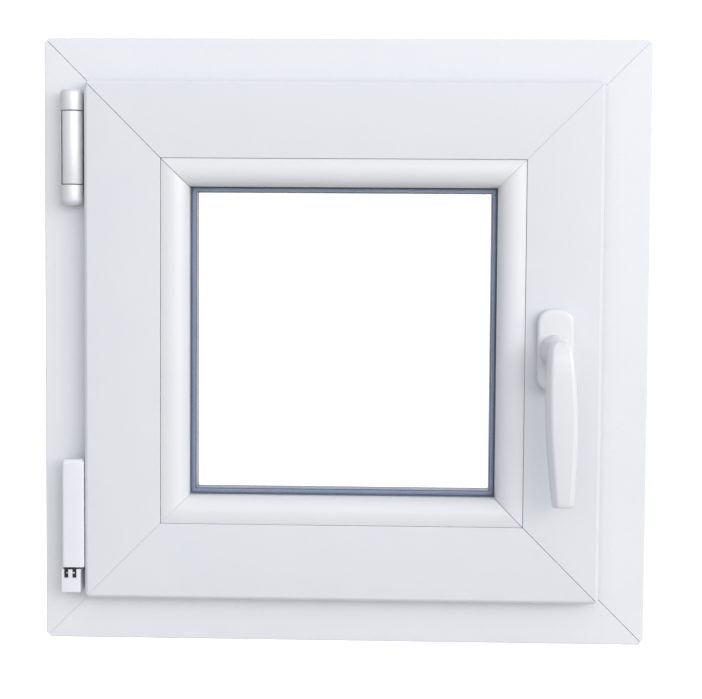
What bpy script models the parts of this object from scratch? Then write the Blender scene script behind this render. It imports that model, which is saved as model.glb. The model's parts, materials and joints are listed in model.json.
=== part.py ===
"""Tilt-and-turn window, 500 x 500 mm, white uPVC with double glazing.

Metres, +Z up. +Y is outdoors, -Y is the room, +X is the handle side and -X the hinge side.
The origin is at the middle of the frame's bottom face.
"""
import math

import bmesh
import bpy
from mathutils import Matrix, Vector

# Overall sizes
WIDTH = 0.500
HEIGHT = 0.500
FRAME_DEPTH = 0.070
FRAME_BODY = 0.046           # outer edge to the rebate that the sash closes into
FRAME_STOP = 0.020           # outdoor flange standing in from the rebate
STOP_THICK = 0.016
SASH_EDGE = 0.038            # frame's outer edge to the sash's outer edge, at the sides
SASH_EDGE_Z = 0.03695        # the same at top and bottom
SASH_SHIFT_X = -0.0018       # the hinges are set a little towards the hinge side
SASH_SHIFT_Z = 0.00065
SASH_PROUD = 0.020           # sash's room face in front of the frame's room face
SASH_DEPTH = 0.070
SASH_FLANGE = 0.020          # overlap flange, from the sash's edge to its body
FLANGE_THICK = 0.016
GLAZING_FLOOR = 0.0627       # sash's edge to the floor of the glazing rebate
SASH_FACE = 0.0855           # sash's edge to the daylight edge of bead and upstand
UPSTAND_THICK = 0.021
GLASS_RECESS = 0.020         # glass behind the sash's room face
GLASS_UNIT = 0.024
PANE_THICK = 0.004
GLASS_EDGE = 0.070           # sash's edge to the glass's edge
SPACER_OUTER = 0.082
SPACER_INNER = 0.0897
GAP = 0.0003                 # kept between pieces that touch
WALL = 0.003                 # outer wall of a profile

# Places that follow from them
ROOM_FACE = -FRAME_DEPTH / 2
OUT_FACE = FRAME_DEPTH / 2
SASH_ROOM = ROOM_FACE - SASH_PROUD
SASH_OUT = SASH_ROOM + SASH_DEPTH
FLANGE_BACK = SASH_ROOM + FLANGE_THICK
STOP_FACE = OUT_FACE - STOP_THICK
UPSTAND_FACE = SASH_OUT - UPSTAND_THICK
GLASS_ROOM = SASH_ROOM + GLASS_RECESS
GLASS_OUT = GLASS_ROOM + GLASS_UNIT
SASH_WIDTH = WIDTH - 2 * SASH_EDGE
SASH_HEIGHT = HEIGHT - 2 * SASH_EDGE_Z
SASH_X = SASH_SHIFT_X
SASH_Z = HEIGHT / 2 + SASH_SHIFT_Z
SASH_LEFT = SASH_X - SASH_WIDTH / 2
SASH_RIGHT = SASH_X + SASH_WIDTH / 2
SASH_BOTTOM = SASH_Z - SASH_HEIGHT / 2
SASH_TOP = SASH_Z + SASH_HEIGHT / 2
BODY_LEFT = SASH_LEFT + SASH_FLANGE
BODY_RIGHT = SASH_RIGHT - SASH_FLANGE
BODY_BOTTOM = SASH_BOTTOM + SASH_FLANGE
BODY_TOP = SASH_TOP - SASH_FLANGE

# Hinges
PIVOT_X = SASH_LEFT - 0.0115
PIVOT_Y = ROOM_FACE - 0.010
TILT_Z = 0.045
BARREL_RADIUS = 0.00935
PIN_RADIUS = 0.003
UPPER_BARREL = (0.3616, 0.3787, 0.3790, 0.4392, 0.4395, 0.4565)
LEAF_NEAR = PIVOT_Y + 0.007  # hinge leaves run in the gap behind the sash's flange
LEAF_FAR = PIVOT_Y + 0.009
BLOCK_HALF = 0.00855
BLOCK_LOW = 0.042
BLOCK_HIGH = 0.0612
COVER_LOW = 0.063
COVER_HIGH = 0.1525
ARM_REACH = 0.178
ARM_LOW = 0.4483
ARM_THICK = 0.0025

# Handle and drive
HANDLE_X = 0.1716
HANDLE_Z = 0.2469
GROOVE_Y = FLANGE_BACK + 0.013
GROOVE_WIDE = 0.016
GROOVE_NARROW = 0.012
GROOVE_SEAT = 0.0022
GROOVE_DEPTH = 0.0117
ROD_WIDE = 0.010
ROD_THICK = 0.0029
ROD_TOP = BODY_RIGHT - GROOVE_SEAT - 0.0001
TEETH = 12
RACK_PITCH = 0.006
PITCH_RADIUS = TEETH * RACK_PITCH / (2 * math.pi)
PINION_TIP = PITCH_RADIUS + 0.0013
ROD_TRAVEL = math.pi * PITCH_RADIUS
RACK_ABOVE = 8               # rack teeth above and below the spindle's height
RACK_BELOW = 2
CAM_RADIUS = 0.0035
CAM_OUT = 0.0048             # cam heads stand this far out of the sash's body
LOCK_CAMS = (0.330, 0.165)
TOP_CAM = 0.095
BOTTOM_CAM = 0.110
SCREW_PITCH = 0.0215
ROSETTE_WIDE = 0.0298
ROSETTE_TALL = 0.067
ROSETTE_FRONT = SASH_ROOM - 0.0103
LEVER_BACK = SASH_ROOM - 0.031
SPINDLE_SIDE = 0.007

SIDES = ("sill", "lock_jamb", "head", "hinge_jamb")
TURNS = (0.0, -math.pi / 2, math.pi, math.pi / 2)
ROUND_STEPS = 32


# ---------------------------------------------------------------- scene and helpers
for old in list(bpy.data.objects):
    bpy.data.objects.remove(old, do_unlink=True)

parts = bpy.data.collections.new("tilt_and_turn_window")
cutters = bpy.data.collections.new("cutters")
bpy.context.scene.collection.children.link(parts)
bpy.context.scene.collection.children.link(cutters)


def material(name, colour, roughness, metallic=0.0, transmission=0.0):
    made = bpy.data.materials.new(name)
    made.use_nodes = True
    shader = made.node_tree.nodes["Principled BSDF"]
    shader.inputs["Base Color"].default_value = (*colour, 1.0)
    shader.inputs["Roughness"].default_value = roughness
    shader.inputs["Metallic"].default_value = metallic
    shader.inputs["Transmission Weight"].default_value = transmission
    return made


UPVC = material("white_upvc", (0.80, 0.82, 0.87), 0.35)
BEAD = material("bead_upvc", (0.81, 0.82, 0.86), 0.30)
LACQUER = material("white_lacquer", (0.84, 0.85, 0.88), 0.25)
COVER = material("white_cover_plastic", (0.83, 0.84, 0.88), 0.32)
GALVANISED = material("galvanised_steel", (0.55, 0.56, 0.58), 0.45, 1.0)
HARDWARE = material("zinc_plated_steel", (0.62, 0.62, 0.64), 0.32, 1.0)
CAST_ZINC = material("cast_zinc", (0.50, 0.51, 0.53), 0.42, 1.0)
GASKET = material("grey_gasket", (0.30, 0.33, 0.40), 0.75)
SPACER = material("spacer_bar", (0.36, 0.42, 0.55), 0.45, 0.6)
SEALANT = material("edge_sealant", (0.05, 0.06, 0.08), 0.70)
GLASS = material("float_glass", (0.92, 0.96, 0.95), 0.02, 0.0, 1.0)
BLOCK = material("setting_block_plastic", (0.10, 0.25, 0.55), 0.60)


def joint_empty(name, point, parent=None):
    """An empty on a joint's axis; point is in world coordinates."""
    empty = bpy.data.objects.new(name, None)
    empty.empty_display_size = 0.02
    empty.location = Vector(point)
    parts.objects.link(empty)
    empty["point"] = point
    if parent is not None:
        empty.parent = parent
        empty.matrix_parent_inverse = Matrix.Translation(-Vector(parent["point"]))
    return empty


FRAME_BODY_AXES = joint_empty("frame_axes", (0, 0, 0))
TURN_AXIS = joint_empty("turn_axis", (PIVOT_X, PIVOT_Y, BLOCK_LOW), FRAME_BODY_AXES)
TILT_AXIS = joint_empty("tilt_axis", (PIVOT_X, PIVOT_Y, TILT_Z), TURN_AXIS)
ARM_AXIS = joint_empty("stay_arm_axis", (PIVOT_X, PIVOT_Y, ARM_LOW), TURN_AXIS)
HANDLE_AXIS = joint_empty("handle_axis", (HANDLE_X, ROSETTE_FRONT, HANDLE_Z), TILT_AXIS)
SLIDER_AXIS = joint_empty("slider_axis", (PIVOT_X + ARM_REACH, GROOVE_Y, BODY_TOP), TILT_AXIS)
LOCK_AXIS = joint_empty("lock_rod_axis", (ROD_TOP, GROOVE_Y, HANDLE_Z), TILT_AXIS)
TOP_AXIS = joint_empty("top_rod_axis", (TOP_CAM, GROOVE_Y, BODY_TOP), TILT_AXIS)
BOTTOM_AXIS = joint_empty("bottom_rod_axis", (BOTTOM_CAM, GROOVE_Y, BODY_BOTTOM), TILT_AXIS)


def place(name, mesh, location, look, axis, rotation=(0, 0, 0)):
    """Make a named part from a mesh and hang it on its body's empty."""
    mesh.name = name
    mesh.materials.clear()
    mesh.materials.append(look)
    made = bpy.data.objects.new(name, mesh)
    made.location = location
    made.rotation_euler = rotation
    parts.objects.link(made)
    made.parent = axis
    made.matrix_parent_inverse = Matrix.Translation(-Vector(axis["point"]))
    return made


def mesh_from(build):
    """A new mesh filled by a function that works on a bmesh, faces pointing out."""
    work = bmesh.new()
    build(work)
    bmesh.ops.recalc_face_normals(work, faces=work.faces)
    mesh = bpy.data.meshes.new("shape")
    work.to_mesh(mesh)
    work.free()
    return mesh


def box_mesh(size):
    def build(work):
        bmesh.ops.create_cube(work, size=1.0)
        bmesh.ops.scale(work, vec=Vector(size), verts=work.verts)
    return mesh_from(build)


def box(name, low, high, look, axis):
    """A box between two corners in world coordinates."""
    size = Vector(high) - Vector(low)
    middle = (Vector(high) + Vector(low)) / 2
    return place(name, box_mesh(size), middle, look, axis)


def cylinder_mesh(radius, length, steps=ROUND_STEPS):
    def build(work):
        bmesh.ops.create_cone(work, cap_ends=True, segments=steps,
                              radius1=radius, radius2=radius, depth=length)
    return mesh_from(build)


def outline_mesh(loops, thickness):
    """A flat outline with holes, filled in XY and thickened along Z."""
    curve = bpy.data.curves.new("outline", "CURVE")
    curve.dimensions = "2D"
    curve.fill_mode = "BOTH"
    curve.extrude = thickness / 2
    for loop in loops:
        spline = curve.splines.new("POLY")
        spline.points.add(len(loop) - 1)
        for point, (x, y) in zip(spline.points, loop):
            point.co = (x, y, 0, 1)
        spline.use_cyclic_u = True
    guide = bpy.data.objects.new("outline", curve)
    cutters.objects.link(guide)
    evaluated = guide.evaluated_get(bpy.context.evaluated_depsgraph_get())
    raw = bpy.data.meshes.new_from_object(evaluated)
    bpy.data.objects.remove(guide, do_unlink=True)

    def build(work):
        work.from_mesh(raw)
        bmesh.ops.remove_doubles(work, verts=work.verts, dist=0.00001)
    return mesh_from(build)


def smooth(part, angle=40):
    part.data.shade_smooth()
    part.data.set_sharp_from_angle(angle=math.radians(angle))
    return part


def turned_mesh(profile, closed=False):
    """A profile of (radius, height), outer side top to bottom, turned about Z."""
    line = bpy.data.meshes.new("profile")
    ends = [(i, i + 1) for i in range(len(profile) - 1)]
    if closed:
        ends.append((len(profile) - 1, 0))
    line.from_pydata([(r, 0, z) for r, z in profile], ends, [])
    guide = bpy.data.objects.new("profile", line)
    cutters.objects.link(guide)
    screw = guide.modifiers.new("turn", "SCREW")
    screw.steps = ROUND_STEPS
    screw.render_steps = ROUND_STEPS
    screw.use_merge_vertices = True
    screw.merge_threshold = 0.00001
    evaluated = guide.evaluated_get(bpy.context.evaluated_depsgraph_get())
    raw = bpy.data.meshes.new_from_object(evaluated)
    bpy.data.objects.remove(guide, do_unlink=True)

    def build(work):
        work.from_mesh(raw)
        bmesh.ops.remove_doubles(work, verts=work.verts, dist=0.00001)
    return mesh_from(build)


def cutter(name, mesh, location, rotation=(0, 0, 0)):
    """A solid that only shapes other parts."""
    made = bpy.data.objects.new(name, mesh)
    made.location = location
    made.rotation_euler = rotation
    made.hide_render = True
    made.display_type = "WIRE"
    cutters.objects.link(made)
    return made


def box_cutter(name, low, high):
    size = Vector(high) - Vector(low)
    middle = (Vector(high) + Vector(low)) / 2
    return cutter(name, box_mesh(size), middle)


def combine(part, tool, operation):
    change = part.modifiers.new(tool.name, "BOOLEAN")
    change.operation = operation
    change.object = tool


def circle(radius, x=0.0, y=0.0, steps=ROUND_STEPS):
    angles = [2 * math.pi * i / steps for i in range(steps)]
    return [(x + radius * math.cos(a), y + radius * math.sin(a)) for a in angles]


def rectangle(left, low, right, high):
    return [(left, low), (right, low), (right, high), (left, high)]


def stadium(wide, tall, y=0.0, steps=12):
    """A tall slot outline with round ends, centred on x 0."""
    radius = wide / 2
    reach = tall / 2 - radius
    top = [math.pi * i / steps for i in range(steps + 1)]
    upper = [(radius * math.cos(a), y + reach + radius * math.sin(a)) for a in top]
    lower = [(-x, 2 * y - z) for x, z in upper]
    return upper + lower


def rounded_box(left, low, right, high, radius, steps=4):
    """A rectangle with rounded corners, anticlockwise."""
    corners = ((right - radius, high - radius, 0), (left + radius, high - radius, 1),
               (left + radius, low + radius, 2), (right - radius, low + radius, 3))
    points = []
    for x, y, quarter in corners:
        for i in range(steps + 1):
            angle = math.pi / 2 * (quarter + i / steps)
            points.append((x + radius * math.cos(angle), y + radius * math.sin(angle)))
    return points


def bar(name, loops, side, size, centre, look, axis, inset=None):
    """One side of a rectangular frame, extruded from a section of (inward, depth) loops.

    Without inset its ends are mitred. With inset they are cut square, that far from the corners.
    """
    width, height = size
    length = width if side in (0, 2) else height
    reach = (0, 0, -height / 2), (width / 2, 0, 0), (0, 0, height / 2), (-width / 2, 0, 0)
    mesh = outline_mesh(loops, 1.0)
    mitre_gap = GAP / math.sqrt(2)
    for vertex in mesh.vertices:
        inward, depth, end = vertex.co
        half = length / 2 - inward - mitre_gap if inset is None else length / 2 - inset
        vertex.co = (math.copysign(half, -end), depth, inward)
    location = Vector((centre[0], 0, centre[1])) + Vector(reach[side])
    return place(name, mesh, location, look, axis, (0, TURNS[side], 0))


def ring(name, outer, inner, near, far, look, axis):
    """A flat rectangular ring in the sash: outer and inner are distances from the sash's edge."""
    loops = [rectangle(d - SASH_WIDTH / 2, d - SASH_HEIGHT / 2, SASH_WIDTH / 2 - d, SASH_HEIGHT / 2 - d)
             for d in (outer, inner)]
    location = (SASH_X, (near + far) / 2, SASH_Z)
    return place(name, outline_mesh(loops, far - near), location, look, axis, (math.pi / 2, 0, 0))


# ---------------------------------------------------------------- fixed frame
def frame_section():
    key = 0.003
    outline = [(0, ROOM_FACE), (FRAME_BODY, ROOM_FACE), (FRAME_BODY, STOP_FACE),
               (FRAME_BODY + FRAME_STOP, STOP_FACE), (FRAME_BODY + FRAME_STOP, OUT_FACE), (0, OUT_FACE)]
    for middle in (0.017, -0.017):
        outline += [(0, middle + key), (key, middle + key), (key, middle - key), (0, middle - key)]
    room_chamber = rectangle(0.0065, ROOM_FACE + WALL, FRAME_BODY - WALL, ROOM_FACE + 0.013)
    steel_chamber = rectangle(0.0065, ROOM_FACE + 0.016, FRAME_BODY - WALL, 0.013)
    out_chamber = rectangle(0.0065, 0.022, FRAME_BODY + FRAME_STOP - WALL, OUT_FACE - WALL)
    return [outline, room_chamber, steel_chamber, out_chamber]


def steel_section(left, near, right, far):
    """A folded steel box that stands clear inside its chamber."""
    clear = 0.0005
    wall = 0.0015
    outer = rectangle(left + clear, near + clear, right - clear, far - clear)
    inner_clear = clear + wall
    inner = rectangle(left + inner_clear, near + inner_clear, right - inner_clear, far - inner_clear)
    return [outer, inner]


def build_frame():
    size = (WIDTH, HEIGHT)
    centre = (0, HEIGHT / 2)
    steel = steel_section(0.0065, ROOM_FACE + 0.016, FRAME_BODY - WALL, 0.013)
    for side, label in enumerate(SIDES):
        bar(f"frame_{label}", frame_section(), side, size, centre, UPVC, FRAME_BODY_AXES)
        bar(f"frame_steel_{label}", steel, side, size, centre, GALVANISED, FRAME_BODY_AXES, inset=0.055)
    loops = [rectangle(d - WIDTH / 2, d - HEIGHT / 2, WIDTH / 2 - d, HEIGHT / 2 - d)
             for d in (0.0605, 0.0645)]
    thick = STOP_FACE - SASH_OUT - 2 * GAP
    place("frame_stop_gasket", outline_mesh(loops, thick), (0, (STOP_FACE + SASH_OUT) / 2, HEIGHT / 2),
          GASKET, FRAME_BODY_AXES, (math.pi / 2, 0, 0))
    for label, x in (("left", -0.11), ("right", 0.11)):
        drain_cap(f"drain_cap_{label}", x)


def drain_cap(name, x):
    """A hood over a drainage slot on the outdoor face of the sill."""
    hood = rounded_box(-0.020, -0.006, 0.020, 0.006, 0.004)
    mouth = rectangle(-0.012, -0.002, 0.012, 0.002)
    place(name, outline_mesh([hood, mouth], 0.003), (x, OUT_FACE + GAP + 0.0015, 0.022),
          COVER, FRAME_BODY_AXES, (math.pi / 2, 0, 0))


def build_strikers():
    """Keepers screwed to the frame's rebate, clear of the cams' whole path."""
    thick = 0.0025
    near = GROOVE_Y - 0.008
    far = GROOVE_Y + 0.008
    lock = WIDTH / 2 - FRAME_BODY - GAP
    half = 0.026
    for label, cam in zip(("upper", "lower"), LOCK_CAMS):
        middle = cam - ROD_TRAVEL / 2
        box(f"striker_lock_{label}", (lock - thick, near, middle - half), (lock, far, middle + half),
            CAST_ZINC, FRAME_BODY_AXES)
    head = HEIGHT - FRAME_BODY - GAP
    middle = TOP_CAM + ROD_TRAVEL / 2
    box("striker_head", (middle - half, near, head - thick), (middle + half, far, head),
        CAST_ZINC, FRAME_BODY_AXES)
    sill = FRAME_BODY + GAP
    middle = BOTTOM_CAM - ROD_TRAVEL / 2
    box("striker_sill", (middle - half, near, sill), (middle + half, far, sill + thick),
        CAST_ZINC, FRAME_BODY_AXES)


def dome(top, base, radius, rise, steps=5):
    """Profile of a rounded end from the axis out to the side; rise is signed."""
    points = []
    for i in range(steps + 1):
        angle = math.pi / 2 * i / steps
        points.append((radius - abs(rise) * (1 - math.sin(angle)), top - rise * (1 - math.cos(angle))))
    return points + [(radius, base)]


def build_upper_bearings():
    low, low_top, _, _, high_low, high = UPPER_BARREL
    bore = PIN_RADIUS + GAP
    rise = 0.004
    upper = [(0, high)] + dome(high, high_low, BARREL_RADIUS, rise)
    upper += [(bore, high_low), (bore, high - 0.004), (0, high - 0.004)]
    lower = [(0, low)] + dome(low, low_top, BARREL_RADIUS, -rise)
    lower += [(bore, low_top), (bore, low + 0.004), (0, low + 0.004)]
    for name, profile, base, top in (("stay_bearing_upper", upper, high_low, high - rise),
                                     ("stay_bearing_lower", lower[::-1], low + rise, low_top)):
        knuckle = place(name, turned_mesh(profile), (PIVOT_X, PIVOT_Y, 0), LACQUER, FRAME_BODY_AXES)
        foot = box_cutter(f"{name}_foot", (PIVOT_X - 0.005, PIVOT_Y + 0.0045, base + 0.001),
                          (PIVOT_X + 0.005, ROOM_FACE - GAP, top - 0.001))
        combine(knuckle, foot, "UNION")
        smooth(knuckle)
    pin_low = low + 0.0045
    pin_high = high - 0.0045
    pin = place("upper_hinge_pin", cylinder_mesh(PIN_RADIUS, pin_high - pin_low),
                (PIVOT_X, PIVOT_Y, (pin_low + pin_high) / 2), HARDWARE, FRAME_BODY_AXES)
    smooth(pin)


def build_corner_bearing():
    """Bracket on the frame and its white cap, open at the top for the swivel."""
    back = ROOM_FACE - GAP - PIVOT_Y
    plate = 0.0017
    bracket = [(-0.005, BLOCK_LOW), (back, BLOCK_LOW), (back, BLOCK_HIGH - 0.001),
               (back - plate, BLOCK_HIGH - 0.001), (back - plate, BLOCK_LOW + 0.0013),
               (-0.005, BLOCK_LOW + 0.0013)]
    place("corner_bearing", outline_mesh([bracket], 0.013), (PIVOT_X, PIVOT_Y, 0),
          HARDWARE, FRAME_BODY_AXES, (math.pi / 2, 0, math.pi / 2))
    side = 0.0015
    front = 0.002
    shell = [(-BLOCK_HALF, back), (-BLOCK_HALF, -0.0075), (-BLOCK_HALF + 0.0015, -0.009),
             (BLOCK_HALF - 0.0015, -0.009), (BLOCK_HALF, -0.0075), (BLOCK_HALF, back),
             (BLOCK_HALF - side, back), (BLOCK_HALF - side, front - 0.009),
             (side - BLOCK_HALF, front - 0.009), (side - BLOCK_HALF, back)]
    height = BLOCK_HIGH - BLOCK_LOW
    cap = place("corner_bearing_cap", outline_mesh([shell], height),
                (PIVOT_X, PIVOT_Y, BLOCK_LOW + height / 2), COVER, FRAME_BODY_AXES)
    notch = box_cutter("corner_bearing_cap_notch", (PIVOT_X - 0.0052, PIVOT_Y - 0.012, BLOCK_HIGH - 0.0074),
                       (PIVOT_X + 0.0052, PIVOT_Y - 0.005, BLOCK_HIGH + 0.01))
    combine(cap, notch, "DIFFERENCE")


# ---------------------------------------------------------------- turning carrier and stay arm
def build_swivel():
    """Upright swivel pin with the short cross bar that the sash tilts about."""
    low = BLOCK_LOW + 0.0016
    high = BLOCK_HIGH - 0.0015
    swivel = place("corner_swivel", cylinder_mesh(0.0028, high - low),
                   (PIVOT_X, PIVOT_Y, (low + high) / 2), HARDWARE, TURN_AXIS)
    cross = box_cutter("corner_swivel_cross", (PIVOT_X - 0.0031, PIVOT_Y - 0.0012, TILT_Z - 0.0012),
                       (PIVOT_X + 0.0031, PIVOT_Y + 0.0012, TILT_Z + 0.0012))
    combine(swivel, cross, "UNION")
    smooth(swivel)


def build_stay_arm():
    _, _, low, high, _, _ = UPPER_BARREL
    bore = PIN_RADIUS + GAP
    leg_near = 0.0233
    leg_far = 0.0253
    profile = [(bore, high), (BARREL_RADIUS, high), (BARREL_RADIUS, low), (bore, low)]
    arm = place("stay_arm", turned_mesh(profile, closed=True), (PIVOT_X, PIVOT_Y, 0), LACQUER, ARM_AXIS)
    leaf = box_cutter("stay_arm_leaf", (PIVOT_X + 0.001, LEAF_NEAR, low + 0.006),
                      (PIVOT_X + leg_far, LEAF_FAR, high - 0.002))
    leg = box_cutter("stay_arm_leg", (PIVOT_X + leg_near, LEAF_NEAR + 0.0002, low + 0.012),
                     (PIVOT_X + leg_far + 0.0002, PIVOT_Y + 0.021, ARM_LOW + ARM_THICK - 0.0002))
    end = PIVOT_X + ARM_REACH
    strip = [(PIVOT_X + leg_near - 0.0003, GROOVE_Y - 0.007), (end, GROOVE_Y - 0.007)]
    turns = [-math.pi / 2 + math.pi * i / 12 for i in range(1, 12)]
    strip += [(end + 0.007 * math.cos(a), GROOVE_Y + 0.007 * math.sin(a)) for a in turns]
    strip += [(end, GROOVE_Y + 0.007), (PIVOT_X + leg_near - 0.0003, GROOVE_Y + 0.007)]
    strap = cutter("stay_arm_strip", outline_mesh([strip, circle(0.0028, end, GROOVE_Y, 20)], ARM_THICK),
                   (0, 0, ARM_LOW + ARM_THICK / 2))
    for piece in (leaf, leg, strap):
        combine(arm, piece, "UNION")
    smooth(arm)
    top = ARM_LOW + ARM_THICK
    rivet = [(0, top + 0.0016), (0.0042, top + 0.0016), (0.0048, top + 0.001), (0.0048, top + GAP),
             (0.0025, top + GAP), (0.0025, BODY_TOP + 0.0018), (0, BODY_TOP + 0.0018)]
    smooth(place("stay_arm_rivet", turned_mesh(rivet), (end, GROOVE_Y, 0), HARDWARE, ARM_AXIS))


def build_slider():
    """Block in the top rail's groove with the slot that the stay arm's rivet rides in."""
    body = rectangle(-0.015, -0.007, 0.015, 0.007)
    slot = [(y, x) for x, y in stadium(0.0066, 0.0146)]
    low = BODY_TOP + GAP
    high = BODY_TOP + 0.0036
    place("stay_slider", outline_mesh([body, slot], high - low),
          (PIVOT_X + ARM_REACH, GROOVE_Y, (low + high) / 2), HARDWARE, SLIDER_AXIS)


# ---------------------------------------------------------------- sash
def sash_section():
    wide = GROOVE_WIDE / 2
    narrow = GROOVE_NARROW / 2
    seat = SASH_FLANGE + GROOVE_SEAT
    deep = SASH_FLANGE + GROOVE_DEPTH
    outline = [(0, SASH_ROOM), (GLAZING_FLOOR, SASH_ROOM),
               (GLAZING_FLOOR, SASH_ROOM + 0.005), (GLAZING_FLOOR - 0.004, SASH_ROOM + 0.005),
               (GLAZING_FLOOR - 0.004, SASH_ROOM + 0.009), (GLAZING_FLOOR, SASH_ROOM + 0.009),
               (GLAZING_FLOOR, UPSTAND_FACE), (SASH_FACE, UPSTAND_FACE), (SASH_FACE, SASH_OUT),
               (SASH_FLANGE, SASH_OUT), (SASH_FLANGE, GROOVE_Y + wide), (seat, GROOVE_Y + wide),
               (seat, GROOVE_Y + narrow), (deep, GROOVE_Y + narrow), (deep, GROOVE_Y - narrow),
               (seat, GROOVE_Y - narrow), (seat, GROOVE_Y - wide), (SASH_FLANGE, GROOVE_Y - wide),
               (SASH_FLANGE, FLANGE_BACK), (0, FLANGE_BACK)]
    room_chamber = rectangle(WALL, SASH_ROOM + WALL, 0.0555, FLANGE_BACK - WALL)
    drive_chamber = rectangle(0.0342, FLANGE_BACK, GLAZING_FLOOR - WALL, FLANGE_BACK + 0.023)
    steel_chamber = rectangle(0.023, -0.013, GLAZING_FLOOR - WALL, SASH_OUT - WALL)
    upstand_chamber = rectangle(GLAZING_FLOOR + 0.0008, UPSTAND_FACE + WALL,
                                SASH_FACE - WALL, SASH_OUT - WALL)
    return [outline, room_chamber, drive_chamber, steel_chamber, upstand_chamber]


def bead_section():
    """Glazing bead: flat beside the sash, then a quarter round down to the glass."""
    front = SASH_ROOM + 0.0007
    near = GLAZING_FLOOR + GAP
    flat_end = 0.0715
    tip = GLASS_ROOM - 0.0070
    points = [(near, front), (flat_end, front)]
    steps = 7
    for i in range(1, steps + 1):
        angle = math.pi / 2 * i / steps
        points.append((flat_end + (SASH_FACE - flat_end) * math.sin(angle),
                       front + (tip - front) * (1 - math.cos(angle))))
    back = GLASS_ROOM - 0.0031
    points += [(SASH_FACE, back), (near, back)]
    foot_back = SASH_ROOM + 0.009 - GAP
    foot_front = SASH_ROOM + 0.005 + GAP
    foot_end = GLAZING_FLOOR - 0.004 + GAP
    points += [(near, foot_back), (foot_end, foot_back), (foot_end, foot_front), (near, foot_front)]
    chamber = rectangle(near + 0.0025, front + 0.0025, 0.0740, back - 0.0025)
    return [points, chamber]


def build_sash_profiles():
    size = (SASH_WIDTH, SASH_HEIGHT)
    centre = (SASH_X, SASH_Z)
    steel = steel_section(0.023, -0.013, GLAZING_FLOOR - WALL, SASH_OUT - WALL)
    made = {}
    for side, label in enumerate(SIDES):
        rail = label.replace("sill", "bottom_rail").replace("head", "top_rail").replace("jamb", "stile")
        made[rail] = bar(f"sash_{rail}", sash_section(), side, size, centre, UPVC, TILT_AXIS)
        bar(f"sash_steel_{rail}", steel, side, size, centre, GALVANISED, TILT_AXIS, inset=0.066)
        bar(f"glazing_bead_{rail}", bead_section(), side, size, centre, BEAD, TILT_AXIS)
    return made


def build_glazing():
    half_x = SASH_WIDTH / 2 - GLASS_EDGE
    half_z = SASH_HEIGHT / 2 - GLASS_EDGE
    for name, near in (("glass_pane_room", GLASS_ROOM), ("glass_pane_outdoor", GLASS_OUT - PANE_THICK)):
        box(name, (SASH_X - half_x, near, SASH_Z - half_z),
            (SASH_X + half_x, near + PANE_THICK, SASH_Z + half_z), GLASS, TILT_AXIS)
    near = GLASS_ROOM + PANE_THICK + GAP
    far = GLASS_OUT - PANE_THICK - GAP
    ring("glass_edge_seal", GLASS_EDGE + GAP, SPACER_OUTER - GAP, near, far, SEALANT, TILT_AXIS)
    ring("glass_spacer", SPACER_OUTER, SPACER_INNER, near, far, SPACER, TILT_AXIS)
    ring("glazing_gasket_room", 0.0775, SASH_FACE + 0.0012, GLASS_ROOM - 0.0028, GLASS_ROOM - GAP,
         GASKET, TILT_AXIS)
    ring("glazing_gasket_outdoor", 0.0755, SASH_FACE + 0.0008, GLASS_OUT + GAP, UPSTAND_FACE - GAP,
         GASKET, TILT_AXIS)
    floor = SASH_BOTTOM + GLAZING_FLOOR + GAP
    for label, x in (("left", -0.085), ("right", 0.085)):
        box(f"setting_block_{label}", (SASH_X + x - 0.030, GLASS_ROOM, floor),
            (SASH_X + x + 0.030, GLASS_OUT, SASH_BOTTOM + GLASS_EDGE - GAP), BLOCK, TILT_AXIS)


def build_overlap_gasket():
    """Seal on the back of the overlap flange, notched where the hinge leaves pass."""
    gasket = ring("sash_overlap_gasket", 0.0025, 0.006, FLANGE_BACK + GAP, ROOM_FACE - 0.0008,
                  GASKET, TILT_AXIS)
    for label, low, high in (("lower", COVER_LOW - 0.001, COVER_HIGH), ("upper", 0.380, 0.444)):
        notch = box_cutter(f"overlap_gasket_notch_{label}", (SASH_LEFT + 0.001, LEAF_NEAR - GAP, low),
                           (SASH_LEFT + 0.008, ROOM_FACE, high))
        combine(gasket, notch, "DIFFERENCE")


def build_corner_hinge():
    """Steel bracket on the sash: two cheeks on the swivel, a post and a leaf round to the groove."""
    post = 0.0038
    hinge = box("corner_hinge", (PIVOT_X - post, PIVOT_Y - post, COVER_LOW + 0.002),
                (PIVOT_X + post, PIVOT_Y + post, COVER_HIGH - 0.004), HARDWARE, TILT_AXIS)
    low = COVER_LOW + 0.004
    high = COVER_HIGH - 0.006
    pieces = [
        box_cutter("corner_hinge_neck", (PIVOT_X + 0.0005, PIVOT_Y + 0.003, low),
                   (PIVOT_X + 0.0036, LEAF_FAR, high)),
        box_cutter("corner_hinge_leaf", (PIVOT_X + 0.001, LEAF_NEAR, low + 0.0005),
                   (BODY_LEFT - 0.0004, LEAF_FAR, high)),
        box_cutter("corner_hinge_wing", (BODY_LEFT - 0.0026, LEAF_NEAR + 0.0005, low + 0.001),
                   (BODY_LEFT - 0.0003, GROOVE_Y + 0.009, high - 0.001)),
    ]
    cheek_half = 0.0006
    for side, middle in (("left", PIVOT_X - 0.0040), ("right", PIVOT_X + 0.0040)):
        pieces.append(box_cutter(f"corner_hinge_cheek_{side}",
                                 (middle - cheek_half, PIVOT_Y - 0.0024, TILT_Z - 0.001),
                                 (middle + cheek_half, PIVOT_Y + 0.0024, COVER_LOW + 0.003)))
    for piece in pieces:
        combine(hinge, piece, "UNION")


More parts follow.
